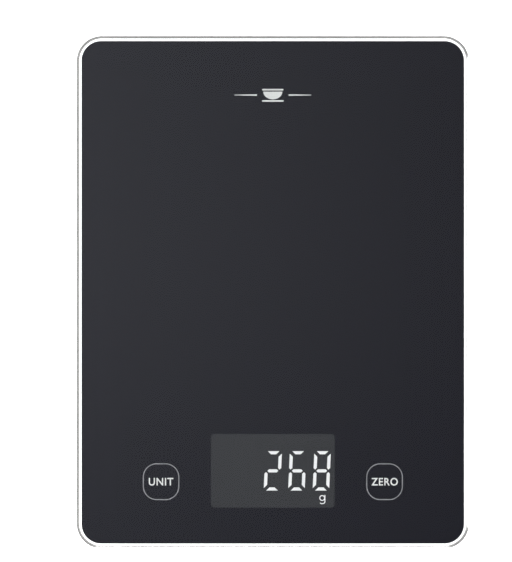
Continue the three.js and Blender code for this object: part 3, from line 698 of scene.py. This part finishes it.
def printed_word(name, word, size, at, low, material):
    """A word as a thin flat piece, scaled to a width and a height, with its foot at low."""
    text = bpy.data.curves.new(name, "FONT")
    text.body = word
    text.offset = 0.015
    text.space_character = 1.1
    text.extrude = 0.5
    text.resolution_u = 6
    letters = new_object(name, text)
    graph = bpy.context.evaluated_depsgraph_get()
    mesh = bpy.data.meshes.new_from_object(letters.evaluated_get(graph))
    bpy.data.objects.remove(letters)
    small, large = (Vector([pick(v.co[i] for v in mesh.vertices) for i in range(3)]) for pick in (min, max))
    scale = Matrix.Diagonal([*(new / old for new, old in zip((*size, MARK_THICK), large - small)), 1])
    middle = Vector((at[0], at[1], low + MARK_THICK / 2))
    mesh.transform(Matrix.Translation(middle) @ scale @ Matrix.Translation(-(small + large) / 2))
    bm = bmesh.new()
    bm.from_mesh(mesh)
    bmesh.ops.remove_doubles(bm, verts=bm.verts, dist=1e-6)
    bpy.data.meshes.remove(mesh)
    place(new_piece(name, bm), material)


def touch_keys(low):
    """A printed ring and a word for each key."""
    width, length, corner = KEY_RING
    for name, (word, word_width) in KEYS.items():
        at = (math.copysign(KEY_AT[0], centre_of(f"touch_spring_{name}").x), KEY_AT[1])
        outer, inner = (rounded(width + line, length + line, corner + line / 2, 16, at)
                        for line in (KEY_LINE, -KEY_LINE))
        ring = band(f"key_ring_{name}", outer, inner, low, low + MARK_THICK)
        place(ring, RING_INK)
        printed_word(f"key_word_{name}", word, (word_width, KEY_WORD_HEIGHT), at, low, WHITE_INK)


def bowl_mark(low):
    """A plain printed ornament: a bowl on a pan, between two tapering strokes."""
    steps, bar = 24, (0.7 * MM, 0.34 * MM, 6)
    half_wide, deep, above = mm(4.2, 3.4, 0.9)
    near, far, half = mm(7, 17, 0.35)
    bowl = [(half_wide * math.cos(a), MARK_Y + above + deep * math.sin(a))
            for a in (math.pi + math.pi * i / steps for i in range(steps + 1))]
    pan = rounded(9.6 * MM, *bar, (0, MARK_Y - 3.2 * MM))
    rim = rounded(9.4 * MM, *bar, (0, MARK_Y + 1.75 * MM))
    stroke = [(near, -half), (far, -half / 3), (far, half / 3), (near, half)]
    strokes = [[(side * x, MARK_Y - 0.6 * MM + y) for x, y in stroke[::side]] for side in (-1, 1)]
    mark = prisms("bowl_mark", [bowl, pan, rim, *strokes], low, low + MARK_THICK)
    place(mark, WHITE_INK)


def bar_outlines(middle):
    """A digit's seven bars by letter. Top and bottom are cut at an angle, the rest end in points."""
    half = BAR_WIDTH / 2
    w, h = (DIGIT_WIDTH - BAR_WIDTH) / 2, (DIGIT_HEIGHT - BAR_WIDTH) / 2

    def end_bar(sign):
        long, short = w + half - CORNER_CUT, w - half - CORNER_CUT
        return [(-long, sign * (h + half)), (-short, sign * (h - half)), (short, sign * (h - half)),
                (long, sign * (h + half))][::sign]

    def middle_bar():
        point, shoulder = w - JOINT_GAP, w - JOINT_GAP - half
        return [(-point, 0), (-shoulder, -half), (shoulder, -half), (point, 0), (shoulder, half),
                (-shoulder, half)]

    def side_bar(sign, up):
        outer, inner = sign * (w + half), sign * (w - half)
        foot = up * (JOINT_GAP + half)
        return [(outer, up * (h + half - CORNER_CUT)), (inner, up * (h - half - CORNER_CUT)), (inner, foot),
                (sign * w, up * JOINT_GAP), (outer, foot)]

    bars = {"a": end_bar(1), "d": end_bar(-1), "g": middle_bar(), "b": side_bar(1, 1), "c": side_bar(1, -1),
            "f": side_bar(-1, 1), "e": side_bar(-1, -1)}
    return {key: [(middle + x + DIGIT_SLANT * y, DISPLAY.y + y) for x, y in points]
            for key, points in bars.items()}


def stroked(path, width):
    """The outline of a line of this width drawn along the path."""
    left, right = [], []
    for i, point in enumerate(path):
        before, after = Vector(path[max(i - 1, 0)]), Vector(path[min(i + 1, len(path) - 1)])
        along = (after - before).normalized() * width / 2
        left.append((point[0] - along.y, point[1] + along.x))
        right.append((point[0] + along.y, point[1] - along.x))
    return left + right[::-1]


def gram_sign(low, material):
    """A small g: a round bowl, and a stem that hooks round under it."""
    x, y = UNIT_SIGN
    steps = 32
    stem_x, stem_top, hook_y = x + 1.15 * MM, y + 2.1 * MM, y - 0.8 * MM
    bowl_x = x - 0.05 * MM

    def oval(at, reach, first, last):
        turns = (math.radians(first + (last - first) * i / steps) for i in range(steps + 1))
        return [(at[0] + reach[0] * math.cos(a), at[1] + reach[1] * math.sin(a)) for a in turns]

    outer, inner = (oval((bowl_x, y + 0.75 * MM), (r * MM, r * MM), 0, 360)[:-1] for r in (1.28, 0.86))
    hook = oval((bowl_x, hook_y), mm(1.2, 0.95), 0, -140)
    sign = band("gram_sign", outer, inner, low, low + MARK_THICK)
    tail = stroked([(stem_x, stem_top), (stem_x, hook_y), *hook[1:]], 0.4 * MM)
    join(sign, prisms("stem", [tail], low, low + MARK_THICK))
    place(sign, material)


def display(top):
    """The smoked filter, whose raised middle fills the print's window, and the lit figures on it."""
    width, length, corner = WINDOW
    step = FILTER_HIGH.z
    play = 0.02 * MM
    base = rounded(FILTER_HIGH.x - FILTER_LOW.x, FILTER_HIGH.y - FILTER_LOW.y, 0.6 * MM, 10, DISPLAY)
    raised = rounded(width - play, length - play, corner, 10, DISPLAY)
    filter_plate = loft("window_filter", [(base, FILTER_LOW.z), (base, step), (raised, step), (raised, top)])
    place(filter_plate, FILTER, stands_for=["display_filter"])
    lit = []
    for number, figure in enumerate(DIGITS_SHOWN):
        outlines = bar_outlines((number - (len(DIGITS_SHOWN) - 1) / 2) * DIGIT_PITCH)
        lit += [outlines[bar] for bar in BARS_OF[figure]]
    glow = lit_bar_finish()
    place(prisms("bars_lit", lit, top, top + MARK_THICK), glow)
    gram_sign(top, glow)


# ---------------------------------------------------------------------------------------------
# Housing
# ---------------------------------------------------------------------------------------------


def shell_ring(inset):
    """The housing's outline, this far in."""
    width, length, corner = SHELL
    least = 1 * MM
    return rounded(width - 2 * inset, length - 2 * inset, corner - min(inset, corner - least), 20)


def curved_wall(low, high, wall):
    """Rings up the quarter-round side of the cover, its outside for wall 0."""
    steps = 10
    angles = [i / steps * math.pi / 2 for i in range(steps + 1)]
    return [(shell_ring(wall + DRAFT * (1 - math.sin(a))), low + (high - low) * (1 - math.cos(a)))
            for a in angles]


def foot_places():
    return {f"{end}_{side}": centre_of(f"foot_cap_{end}_{side}") for end, side in CORNERS}


def screw_places():
    return [centre_of(f"housing_screw_{i}") for i in range(1, 7)]


def pegs(name, radius, sides, places, low, high):
    """Round posts, or cutters for round holes, whose radius is in millimetres."""
    return prisms(name, [circle(radius * MM, sides, at) for at in places], low, high)


def bay_outline(half_x, half_y, corner, wider=0.0):
    return rounded(2 * half_x + wider, 2 * half_y + wider, corner, 6, (0, BAY_Y))


def cover_additions():
    """Walls, hoods and bosses on the cover's floor, and the lip inside its rim."""
    low, well_end = COVER_LOW.z + 0.01 * MM, BAY_Y - 12 * MM
    walls = prisms("walls", [bay_outline(29 * MM, 20.6 * MM, 1 * MM)], low, COVER_HIGH.z)
    well = box_between("well", (-7.4 * MM, BAY_Y - 28 * MM, low), (7.4 * MM, well_end, 12.7 * MM))
    hood = box_between("hood", (-8.2 * MM, BAY_Y - 33.5 * MM, low), (8.2 * MM, well_end, 7 * MM))
    bosses = pegs("bosses", 4.6, 32, screw_places(), low, 8 * MM)
    collars = pegs("collars", 13.4, 64, foot_places().values(), low, 6.2 * MM)
    lip = band("lip", shell_ring(1.8 * MM), shell_ring(3 * MM), COVER_RIM - 1.4 * MM, COVER_RIM + 1.5 * MM)
    return [walls, well, hood, bosses, collars, lip]


def flared_holes(name, radius, places, depth, segments):
    bm = bmesh.new()
    for at in places:
        add_loft(bm, flared(lambda wider: circle(radius + wider / 2, segments, at), COVER_LOW.z, depth))
    return new_piece(name, bm)


def cover_cuts():
    """The door's opening, the bay, the latch well with its scoop, and all holes and recesses."""
    low = COVER_LOW.z - PAST
    screws_at, feet_at = screw_places(), list(foot_places().values())
    opening = (DOOR_HALF[0] + DOOR_GAP, DOOR_HALF[1] + DOOR_GAP, 1.6 * MM)
    door = loft("door_opening", flared(lambda wider: bay_outline(*opening, wider), COVER_LOW.z, 1.7 * MM))
    cavity = prisms("cavity", [bay_outline(*BAY_HALF, 1 * MM)], low, BAY_CEILING)
    inside = BAY_Y - DOOR_HALF[1]
    mouth = box_between("mouth", (-WELL_HALF, BAY_Y - 25.5 * MM, low), (WELL_HALF, inside, 7.1 * MM))
    upper = box_between("upper", (-WELL_HALF, BAY_Y - 26.8 * MM, 7 * MM), (WELL_HALF, inside, 11.5 * MM))
    scoop = turned("scoop", in_mm([(0, -7), (7.6, -7), (8, -6.4), (8, 6.4), (7.6, 7), (0, 7)]), 96)
    laid_along_x(scoop, (0, BAY_Y - 26 * MM, -2.6 * MM), 1)
    cuts = [door, cavity, mouth, upper, scoop]
    edge, top, contact_half = BAY_Y + DOOR_HALF[1] + DOOR_GAP, 8.6 * MM, 2.3 * MM
    for side in (-1, 1):
        room = TAB_HALF + 0.6
        near, far = (side * TAB_X - room) * MM, (side * TAB_X + room) * MM
        cuts.append(box_between("tab_pocket", (near, edge - 3 * MM, 4.6 * MM), (far, edge, top)))
        cuts.append(box_between("tab_slot", (near, edge - 0.1 * MM, FLOOR_TOP), (far, edge + 3 * MM, top)))
        near, far = sorted((side * 24.4 * MM, side * 32 * MM))
        y = BAY_Y - side * CONTACT_Y
        cuts.append(box_between("contact_slot", (near, y - contact_half, 11 * MM),
                                (far, y + contact_half, 12 * MM)))
    return [
        *cuts, flared_holes("screw_recesses", 3.1 * MM, screws_at, 3 * MM, 32),
        pegs("screw_holes", 1.4, 24, screws_at, 5 * MM, 9 * MM),
        flared_holes("foot_holes", 10.7 * MM, feet_at, 4 * MM, 64),
        pegs("flange_rooms", 12.1, 64, feet_at, FLOOR_TOP, 8 * MM),
        prisms("label_recess", [rounded(*LABEL, 8, LABEL_AT)], low, COVER_LOW.z + LABEL_DEPTH),
    ]


def blank_label():
    """A foil label with nothing on it, in its recess under the scale."""
    width, length, corner = LABEL
    play = 0.6 * MM  # of the label in its recess
    outline = rounded(width - play, length - play, corner - play / 2, 8, LABEL_AT)
    label = prisms("blank_label", [outline], COVER_LOW.z + LABEL_DEPTH / 2, COVER_LOW.z + LABEL_DEPTH)
    place(label, FOIL)


def lower_cover():
    rings = curved_wall(COVER_LOW.z, COVER_RIM, 0) + curved_wall(FLOOR_TOP, COVER_RIM, WALL)[::-1]
    cover = loft("cover_shell", rings)
    join(cover, *cover_additions())
    cut(cover, *cover_cuts())
    tidy_mesh(cover)
    place(cover, ABS, stands_for=["lower_cover"])


def upper_frame():
    """The tray under the glass: a skirt, two ribs, windows, and posts for screws and load cells."""
    edge = 0.3 * MM
    skirt_inside = shell_ring(SKIRT_WALL)
    tray = loft("frame_tray", [
        (shell_ring(edge), SKIRT_LOW), (shell_ring(0), SKIRT_LOW + edge),
        (shell_ring(0), FRAME_TOP - edge), (shell_ring(edge), FRAME_TOP)])
    cut(tray, loft("hollow", [(skirt_inside, SKIRT_LOW - PAST), (skirt_inside, PLATE_LOW)]))
    post_top = PLATE_LOW + 0.1 * MM
    rib_x, rib_half = 33, 0.6
    for side in (-1, 1):
        near, far = (side * rib_x - rib_half) * MM, (side * rib_x + rib_half) * MM
        join(tray, box_between("rib", (near, -57 * MM, PLATE_LOW - 2.6 * MM), (far, 96 * MM, post_top)))
    x, y = TOUCH_SPRING_AT
    windows = [
        rounded(58.6 * MM, 36.6 * MM, 0.6 * MM, 6, DISPLAY),
        rounded(60 * MM, 56 * MM, 1.5 * MM, 6, (0, BAY_Y - 6.5 * MM)),
        circle(6.5 * MM, 32, (-x, y)), circle(6.5 * MM, 32, (x, y)),
    ]
    cut(tray, prisms("windows", windows, PLATE_LOW - 3 * MM, FRAME_TOP + PAST))
    from_foot = 12 * MM
    cell_posts = [(at.x + dx * from_foot, at.y + dy * from_foot)
                  for at in foot_places().values() for dx in (-1, 1) for dy in (-1, 1)]
    board_screws = [centre_of(f"board_screw_{i}") for i in range(1, 5)]
    join(tray, pegs("cell_posts", 2.4, 24, cell_posts, 9.7 * MM, post_top),
         pegs("screw_posts", 3.2, 32, screw_places(), 8.2 * MM, post_top),
         pegs("board_posts", 1.9, 24, board_screws, 11.3 * MM, post_top))
    cut(tray, pegs("pilots", 1.2, 24, screw_places(), 7 * MM, 13.9 * MM),
        pegs("board_pilots", 0.95, 20, board_screws, 10 * MM, 15 * MM))
    tidy_mesh(tray)
    place(tray, ABS, stands_for=["upper_frame"])


def latch_section():
    """The door's sprung latch in Y and Z: up from the door, over, and down to the finger lip."""
    inner, outer, strip, bend = BAY_Y - 21.3 * MM, BAY_Y - 24.9 * MM, 1 * MM, 9.5 * MM
    middle, radius, steps = (inner + outer) / 2, (inner - outer) / 2, 16
    foot, hook, lip = mm(3.6, 7.3, 3.4)
    over = [math.pi * i / steps for i in range(steps + 1)]

    def bend_round(reach, angles):
        return [(middle + reach * math.cos(a), bend + reach * math.sin(a)) for a in angles]

    return [(inner, foot), *bend_round(radius, over), (outer, hook + 1 * MM), (outer - 0.25 * MM, hook),
            (outer, hook), (outer, foot), (outer + 0.2 * MM, lip), (outer + strip, lip),
            *bend_round(radius - strip, reversed(over)), (inner - strip, foot)]


def battery_door():
    """The door with its latch and two tabs, its outer edge rounded, and a grip of shortening grooves."""
    (half_x, half_y), low = DOOR_HALF, DOOR_LOW
    edge, upper_edge, half = mm(0.3, 0.15, 5)
    profile = ((edge, low), (edge * 0.3, low + edge * 0.3), (0, low + edge), (0, DOOR_TOP - upper_edge),
               (upper_edge, DOOR_TOP))
    door = loft("door_plate", [(bay_outline(half_x, half_y, 1.5 * MM - inset, -2 * inset), z)
                               for inset, z in profile])
    parts = [
        box_between("tongue", (-half, BAY_Y - 22.3 * MM, low), (half, BAY_Y - 18 * MM, DOOR_TOP)),
        across("latch", latch_section(), -half, half),
    ]
    back = BAY_Y + 17.5 * MM
    for side in (-1, 1):
        near, far = (side * TAB_X - TAB_HALF) * MM, (side * TAB_X + TAB_HALF) * MM
        parts.append(box_between("riser", (near, back, DOOR_TOP - 0.5 * MM),
                                 (far, BAY_Y + 18.9 * MM, 6.1 * MM)))
        parts.append(box_between("tab", (near, back, 5.15 * MM), (far, BAY_Y + 21.2 * MM, 6.15 * MM)))
    join(door, *parts)
    grooves = [((9 - 1.3 * i) * MM, BAY_Y - half_y + (2.2 + 1.5 * i) * MM) for i in range(5)]
    cut(door, *(prisms("grip", [rounded(2 * reach, 0.8 * MM, 0.39 * MM, 6, (0, y))],
                       low - PAST, low + 0.35 * MM) for reach, y in grooves))
    tidy_mesh(door, 20)
    place(door, ABS_DOOR, "battery_cover", ["battery_cover"])


# ---------------------------------------------------------------------------------------------
# Feet, screws, cells, springs, wires, and what is soldered to the board
# ---------------------------------------------------------------------------------------------


def feet():
    pad = [(0, 0.25), (3, 0.25), (3.2, 0), (4.4, 0), (4.6, 0.25), (6, 0.25), (6.2, 0), (7.9, 0), (8.4, 0.12),
           (8.7, 0.4), (8.8, 0.8), (8.8, 2.1), (0, 2.1)]
    cap = [(0, 2.2), (8.95, 2.2), (8.95, 1.15), (9.05, 1.0), (9.6, 1.0), (9.95, 1.12), (10.15, 1.35),
           (10.2, 1.6), (10.2, 5.2), (11.6, 5.2), (11.6, 5.9), (3.5, 5.9), (3.5, 6.25), (0, 6.25)]
    parts = (("pad", pad, RUBBER, "foot_rubber"), ("cap", cap, ABS, "black_abs"))
    for name, at in foot_places().items():
        for part, profile, material, slot in parts:
            piece = turned(f"rest_{part}_{name}", in_mm(profile), 96, at=(at.x, at.y, 0))
            place(piece, material, f"foot_{name}", [f"foot_{part}_{name}"])


def screw_pattern(head, height, shank, length):
    """A pan-head screw, head down, with a cross recess, its head's face at the origin."""
    screw = turned("screw_pattern", [
        (0, 0), (0.55 * head, 0), (0.8 * head, 0.08 * height), (0.95 * head, 0.3 * height),
        (head, 0.6 * height), (head, height), (shank, height), (shank, length - 1.2 * MM),
        (0.2 * shank, length), (0, length),
    ], 40)
    arm, half = 0.6 * head, 0.1 * head
    for x, y in ((arm, half), (half, arm)):
        cut(screw, box_between("slot", (-x, -y, -PAST), (x, y, 0.6 * height)))
    tidy_mesh(screw)
    return screw


def screws():
    sizes = {"housing": (6, 2.6, 1.6, 1.0), "board": (4, 1.8, 1.3, 0.75)}  # count, head, height and shank
    for group, (count, head, height, shank) in sizes.items():
        names = [f"{group}_screw_{i + 1}" for i in range(count)]
        low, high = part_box(names[0])
        pattern = screw_pattern(head * MM, height * MM, shank * MM, high[2] - low[2])
        points = [(centre_of(name).x, centre_of(name).y, low[2]) for name in names]
        set_out(f"{group}_screws", pattern, points, SCREW, names)


def spring(name, turns, foot, top, length):
    """A coil that stands on the origin, its ends half a wire inside the length."""
    coil = grow(name, COIL, {
        "Turns": turns, "Foot Radius": foot, "Top Radius": top, "Height": length - 2 * SPRING_WIRE,
        "Wire Radius": SPRING_WIRE, "Material": SPRING})
    return shade(coil, 50)


def cells():
    """Three cells head to tail, and the spring at the foot of each."""
    sleeve = battery_finish()
    profile = in_mm([
        (0, 0), (3.2, 0), (3.4, 0.12), (4.6, 0.12), (4.8, 0), (5.05, 0.05), (5.2, 0.2), (5.25, 0.5),
        (5.25, 43.0), (5.2, 43.35), (5.05, 43.55), (4.75, 43.6), (4.6, 43.5), (4.2, 43.45), (2.3, 43.7),
        (1.95, 43.8), (1.9, 44.3), (1.75, 44.5), (0, 44.5)])
    for i, side in enumerate((1, -1, 1)):
        name, spring_name = f"battery_{i + 1}", f"battery_spring_{i + 1}"
        low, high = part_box(name)
        middle = centre_of(name)
        cell = turned(f"cell_{i + 1}", profile, 64, with_uv=True)
        laid_along_x(cell, (low[0] if side > 0 else high[0], middle.y, middle.z), side)
        place(cell, sleeve, stands_for=[name])
        low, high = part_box(spring_name)
        foot_at = low[0] + SPRING_WIRE if side > 0 else high[0] - SPRING_WIRE
        coil = spring(f"cell_spring_{i + 1}", 3.0, 3.4 * MM, 2.2 * MM, high[0] - low[0])
        laid_along_x(coil, (foot_at, middle.y, middle.z), side)
        place(coil, SPRING, stands_for=[spring_name])


def touch_springs():
    x, y = TOUCH_SPRING_AT
    for name in KEYS:
        node = f"touch_spring_{name}"
        low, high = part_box(node)
        coil = spring(f"sensing_spring_{name}", 4.0, 4.5 * MM, 4.5 * MM, high[2] - low[2])
        turn_piece(coil, Matrix.Translation((math.copysign(x, low[0]), y, low[2] + SPRING_WIRE)))
        place(coil, SPRING, stands_for=[node])


def smooth_line(points):
    """A line through the points, in millimetres, that rounds each of them off."""
    steps = 14
    points = [Vector(point) * MM for point in points]
    points = [2 * points[0] - points[1], *points, 2 * points[-1] - points[-2]]
    line = []
    for i in range(len(points) - 3):
        four, knots = points[i:i + 4], [0.0]
        for a, b in zip(four, four[1:]):
            knots.append(knots[-1] + (b - a).length ** 0.5)

        def between(first, second, j, reach):
            return first.lerp(second, (t - knots[j]) / (knots[j + reach] - knots[j]))

        for k in range(steps):
            t = knots[1] + (knots[2] - knots[1]) * k / steps
            singles = [between(four[j], four[j + 1], j, 1) for j in range(3)]
            pairs = [between(singles[j], singles[j + 1], j, 2) for j in range(2)]
            line.append(between(pairs[0], pairs[1], 1, 1))
    return [*line, points[-2]]


def twisted(line, offset, pitch, start):
    """A line that winds round another, one turn in each pitch."""
    side = (line[1] - line[0]).orthogonal().normalized()
    wound, travelled = [], 0.0
    for i, point in enumerate(line):
        along = (line[min(i + 1, len(line) - 1)] - line[max(i - 1, 0)]).normalized()
        side = (side - along * side.dot(along)).normalized()
        travelled += (point - line[max(i - 1, 0)]).length
        angle = start + 2 * math.pi * travelled / pitch
        wound.append(point + offset * (side * math.cos(angle) + along.cross(side) * math.sin(angle)))
    return wound


def wire(name, line, radius, material, stands_for=()):
    edges = [(i, i + 1) for i in range(len(line) - 1)]
    piece = grow(name, WIRE, {"Radius": radius, "Material": material}, line, edges)
    tidy_mesh(piece, 50)
    place(piece, material, stands_for=stands_for)


def leads():
    """Three thin wires twisted together from each load cell, and one wire from each end of the cells."""
    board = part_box("main_board")[0][2] / MM
    face = (board - 1.5, board - 0.2)  # where a wire turns up to the board, and where it ends
    routes = {
        "back": [(60, 93, 7.8), (60, 93, 9.4), (57, 84, 11.2), (50, 68, 10.6), (42, 54, 8.6), (40, 30, 8.4),
                 (40, -40, 8.4), (32, -56, 8), (22, -63, 7.4), *((20, -66, z) for z in face)],
        "front": [(60, -80, 7.8), (60, -80, 10.6), (57, -71, 11.2), (46, -66.5, 9.8), (38, -71, 8),
                  (28, -75, 7.4), *((26, -77, z) for z in face)],
    }
    colours = (("red", LEAD_RED), ("black", LEAD_BLACK), ("white", LEAD_GREY))
    ends = []
    for end, side in CORNERS:
        sign = 1 if side == "right" else -1
        line = smooth_line([(sign * x, y, z) for x, y, z in routes[end]])
        node = f"load_cell_lead_{end}_{side}"
        for i, (colour, material) in enumerate(colours):
            strand = twisted(line, 0.42 * MM, 13 * MM, 2 * math.pi * i / 3)
            wire(f"cell_wire_{colour}_{end}_{side}", strand, 0.34 * MM, material, [node])
        ends += [line[0], line[-1]]
    for pole, sign, (colour, material) in (("positive", 1, colours[0]), ("negative", -1, colours[1])):
        y = (BAY_Y - sign * CONTACT_Y) / MM
        route = [(30.6, y, 11.1), (30.6, y, 9.6), (31.6, y - 8, 8.2), (30.6, -30, 8), (16, -54, 8),
                 (12, -62, 7.4), *((10, -66, z) for z in face)]
        line = smooth_line([(sign * x, y, z) for x, y, z in route])
        wire(f"battery_wire_{pole}", line, 0.6 * MM, material, [f"battery_lead_{pole}"])
        ends.append(line[-1])
    fillet = in_mm([(0, -1.3), (0.7, -1.2), (0.85, -0.7), (1.1, -0.2), (1.5, 0), (0, 0)])
    joint = turned("joint", fillet, 24, 50)
    at_board = [(at.x, at.y, board * MM - 0.01 * MM) for at in ends if at.z > 9 * MM]
    set_out("solder_joints", joint, at_board, SOLDER)


def chip_legs(board):
    """Bent legs along the front and back of each chip, from its middle up to the board."""
    pitch, thick, half = mm(1.27, 0.18, 0.2)
    for name, count in (("control_chip", 8), ("converter_chip", 4)):
        at, edge, foot = centre_of(name), size_of(name).y / 2, board - 0.1 * MM
        spine = [(edge - 0.3 * MM, at.z), (edge + 0.4 * MM, at.z), (edge + 0.6 * MM, foot),
                 (edge + 1.2 * MM, foot)]
        front, back = (across("leg", stroked([(sign * y, z) for y, z in spine], thick), -half, half)
                       for sign in (-1, 1))
        join(front, back)
        places = [(at.x + (i - (count - 1) / 2) * pitch, at.y, 0) for i in range(count)]
        set_out(f"{name}_legs", front, places, SOLDER)


def board_tracks(board):
    """Copper tracks under the solder mask, as thin raised strips with slanting corners."""
    paths = [
        [(20, -66), (20, -72), (14, -78), (14, -81.4)], [(26, -77), (21.6, -81.4), (17.2, -81.4)],
        [(10, -66), (10, -71), (4, -77), (3, -78)], [(20.8, -80.5), (24, -83.7), (24, -88)],
        [(3, -80.5), (6, -83.5), (6, -90), (7.8, -91.8)], [(3, -83), (4.4, -84.4), (4.4, -88)],
        [(20.8, -92.5), (27, -92.5), (30, -89.5), (30, -84), (52, -84)],
        [(28, -68), (28, -72), (32, -76), (32, -81)],
        [(13.2, -89.2), (16.5, -92.5), (19.2, -92.5)], [(10.7, -89.2), (10.7, -92)],
        [(-20, -66), (-20, -71), (-17.4, -73.6)], [(-10, -66), (-10, -70.4), (-12.6, -73)],
        [(-10.1, -74.6), (-6, -70.5), (-6, -64)], [(-26, -77), (-22.6, -80.4), (-19.6, -80.4)],
        [(-24.2, -83), (-20, -83), (-19, -84)], [(-24.2, -88), (-20, -88), (-18.4, -86.4)],
        [(-24.2, -85.5), (-19.4, -85.5)], [(-25.8, -88), (-29, -84.8), (-29, -84), (-52, -84)],
        [(-7.6, -87), (-7.6, -90), (-5.4, -92.2)], [(-11.4, -87), (-11.4, -93), (-13.4, -95), (-26, -95)],
        [(-14, -87), (-14, -90.4), (-14.6, -91)], [(-22.8, -70), (-21, -70), (-19, -72)],
        [(2.6, -92.5), (5.4, -95.3), (24, -95.3)],
    ]
    outlines = [stroked(in_mm(path), 0.42 * MM) for path in paths]
    tracks = prisms("board_tracks", outlines, board - 0.035 * MM, board - 0.005 * MM)
    place(tracks, TRACK_MASK)


def small_parts(board):
    """Surface resistors: dark bodies between tinned ends."""
    places = [(x * MM, y * MM, board - 0.01 * MM) for x, y in (
        (-25, -88), (-25, -85.5), (-25, -83), (-25, -80.5), (2, -78), (2, -80.5), (2, -83), (2, -85.5),
        (20, -80.5), (20, -83), (20, -90), (20, -92.5), (-17, -91), (-20, -91), (7, -93), (10, -93),
        (-25, -70), (-22, -70))]
    edge, reach = mm(0.05, 0.75)

    def block(name, half, width, high, x=0.0):
        foot = rounded(2 * half, width, 0.1 * MM, 3, (x, 0))
        top = rounded(2 * half - 2 * edge, width - 2 * edge, 0.06 * MM, 3, (x, 0))
        return loft(name, [(top, -high), (foot, -high + edge), (foot, 0)])

    set_out("resistor_bodies", block("body", 0.6 * MM, 0.8 * MM, 0.45 * MM), places, CERAMIC)
    left, right = (block("cap", 0.19 * MM, 0.86 * MM, 0.5 * MM, x) for x in (-reach, reach))
    join(left, right)
    set_out("resistor_ends", left, places, SOLDER)


def strain_gauges():
    """A film gauge on the tongue of each load cell, under a drop of sealant."""
    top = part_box("load_cell_front_left")[1][2]
    outline = rounded(7 * MM, 4 * MM, 0.4 * MM, 4)
    film = loft("film", [(outline, 0.01 * MM), (outline, 0.08 * MM)])
    bead = in_mm([(0, 0.07), (1.7, 0.07), (1.6, 0.2), (1.1, 0.45), (0.5, 0.58), (0, 0.6)])
    drop = turned("drop", bead, 32, 60)
    places = [(at.x, at.y - 6.6 * MM, top) for at in foot_places().values()]
    set_out("strain_gauges", film, places, GAUGE)
    set_out("gauge_sealant", drop, places, HOLDER)


def carried_over():
    """The inner pieces whose own shape is right get their finish here."""
    finishes = {"glass_tape": TAPE, "display_reflector": BLOCK, "main_board": BOARD_MASK,
                "control_chip": CHIP, "converter_chip": CHIP, "capacitor": CAN}
    for end in ("positive", "negative", "left_link", "right_link"):
        finishes[f"battery_contact_{end}"] = CONTACT
    for end, side in CORNERS:
        finishes[f"load_cell_{end}_{side}"] = CELL_STEEL
        finishes[f"load_cell_holder_{end}_{side}"] = HOLDER
    for node, material in finishes.items():
        set_material(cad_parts[node], material)


# ---------------------------------------------------------------------------------------------
# Floor, light and camera
# ---------------------------------------------------------------------------------------------


def floor():
    """A wide pale sheet that lets a view from below through."""
    bm = bmesh.new()
    bmesh.ops.create_grid(bm, x_segments=2, y_segments=2, size=3.0)
    ground = new_piece("floor", bm, closed=False)
    finish = Finish("pale_floor", (0.8, 0.8, 0.8), 0.9, Emission_Color=(1, 1, 1, 1), Emission_Strength=0.75)
    finish.material.cycles.emission_sampling = "NONE"
    finish.clear_where(finish.node("ShaderNodeNewGeometry").outputs["Backfacing"])
    set_material(ground, finish.material)


def softbox(name, place_at, size, watts):
    """A rectangular lamp that faces the origin."""
    lamp = bpy.data.lights.new(name, "AREA")
    lamp.shape = "RECTANGLE"
    lamp.size, lamp.size_y = size
    lamp.energy = watts
    lamp_object = new_object(name, lamp)
    lamp_object.location = place_at
    lamp_object.rotation_euler = (-Vector(place_at)).to_track_quat("-Z", "Y").to_euler()


def studio_sky():
    """A plain bright room. Straight above, it is lighter to the left and to the back."""
    left, right, round_about = (0.97, 1.0, 1.07), (0.33, 0.335, 0.345), (0.8, 0.81, 0.83)
    world = bpy.data.worlds.new("studio")
    world.use_nodes = True
    tree = world.node_tree
    direction = tree.nodes.new("ShaderNodeTexCoord").outputs["Generated"]
    parts = add_node(tree, "ShaderNodeSeparateXYZ", Vector=direction)

    def ramp(axis, start, end, low=0, high=1):
        made = add_node(tree, "ShaderNodeMapRange", Value=parts.outputs[axis], From_Min=start, From_Max=end,
                        To_Min=low, To_Max=high)
        made.interpolation_type = "SMOOTHSTEP"
        return made.outputs["Result"]

    above = mixed(tree, ramp("X", -0.16, 0.16), left, right)
    fill_inputs(tree, tree.nodes["Background"], Color=mixed(tree, ramp("Z", 0.94, 0.85), above, round_about),
                Strength=ramp("Y", -0.14, 0.02, 0.63))
    bpy.context.scene.world = world


def camera():
    view = bpy.data.cameras.new("camera")
    view.lens = 200
    view.clip_end = 20
    seen_height = 247.7 * MM  # of the plane of the glass
    distance = seen_height * view.lens / view.sensor_width
    camera_object = new_object("camera", view)
    camera_object.location = (*mm(-7.43, 4.98), GLASS_HIGH.z + distance)
    bpy.context.scene.camera = camera_object


def studio():
    floor()
    studio_sky()
    softbox("key_light", (-1.25, 0.4, 1.5), (0.9, 0.9), 22)
    for name, place_at in (("right_strip", (1.1, 0, 0.2)), ("front_strip", (0, -1.1, 0.2))):
        softbox(name, place_at, (0.7, 0.4), 24)
    bpy.context.scene.view_settings.view_transform = "Standard"
    camera()


platform_glass()
ink_top = ink_sheet()
touch_keys(ink_top)
bowl_mark(ink_top)
display(ink_top)
upper_frame()
lower_cover()
blank_label()
battery_door()
feet()
screws()
cells()
touch_springs()
leads()
board_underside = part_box("main_board")[0][2]
board_tracks(board_underside)
chip_legs(board_underside)
small_parts(board_underside)
strain_gauges()
carried_over()
studio()
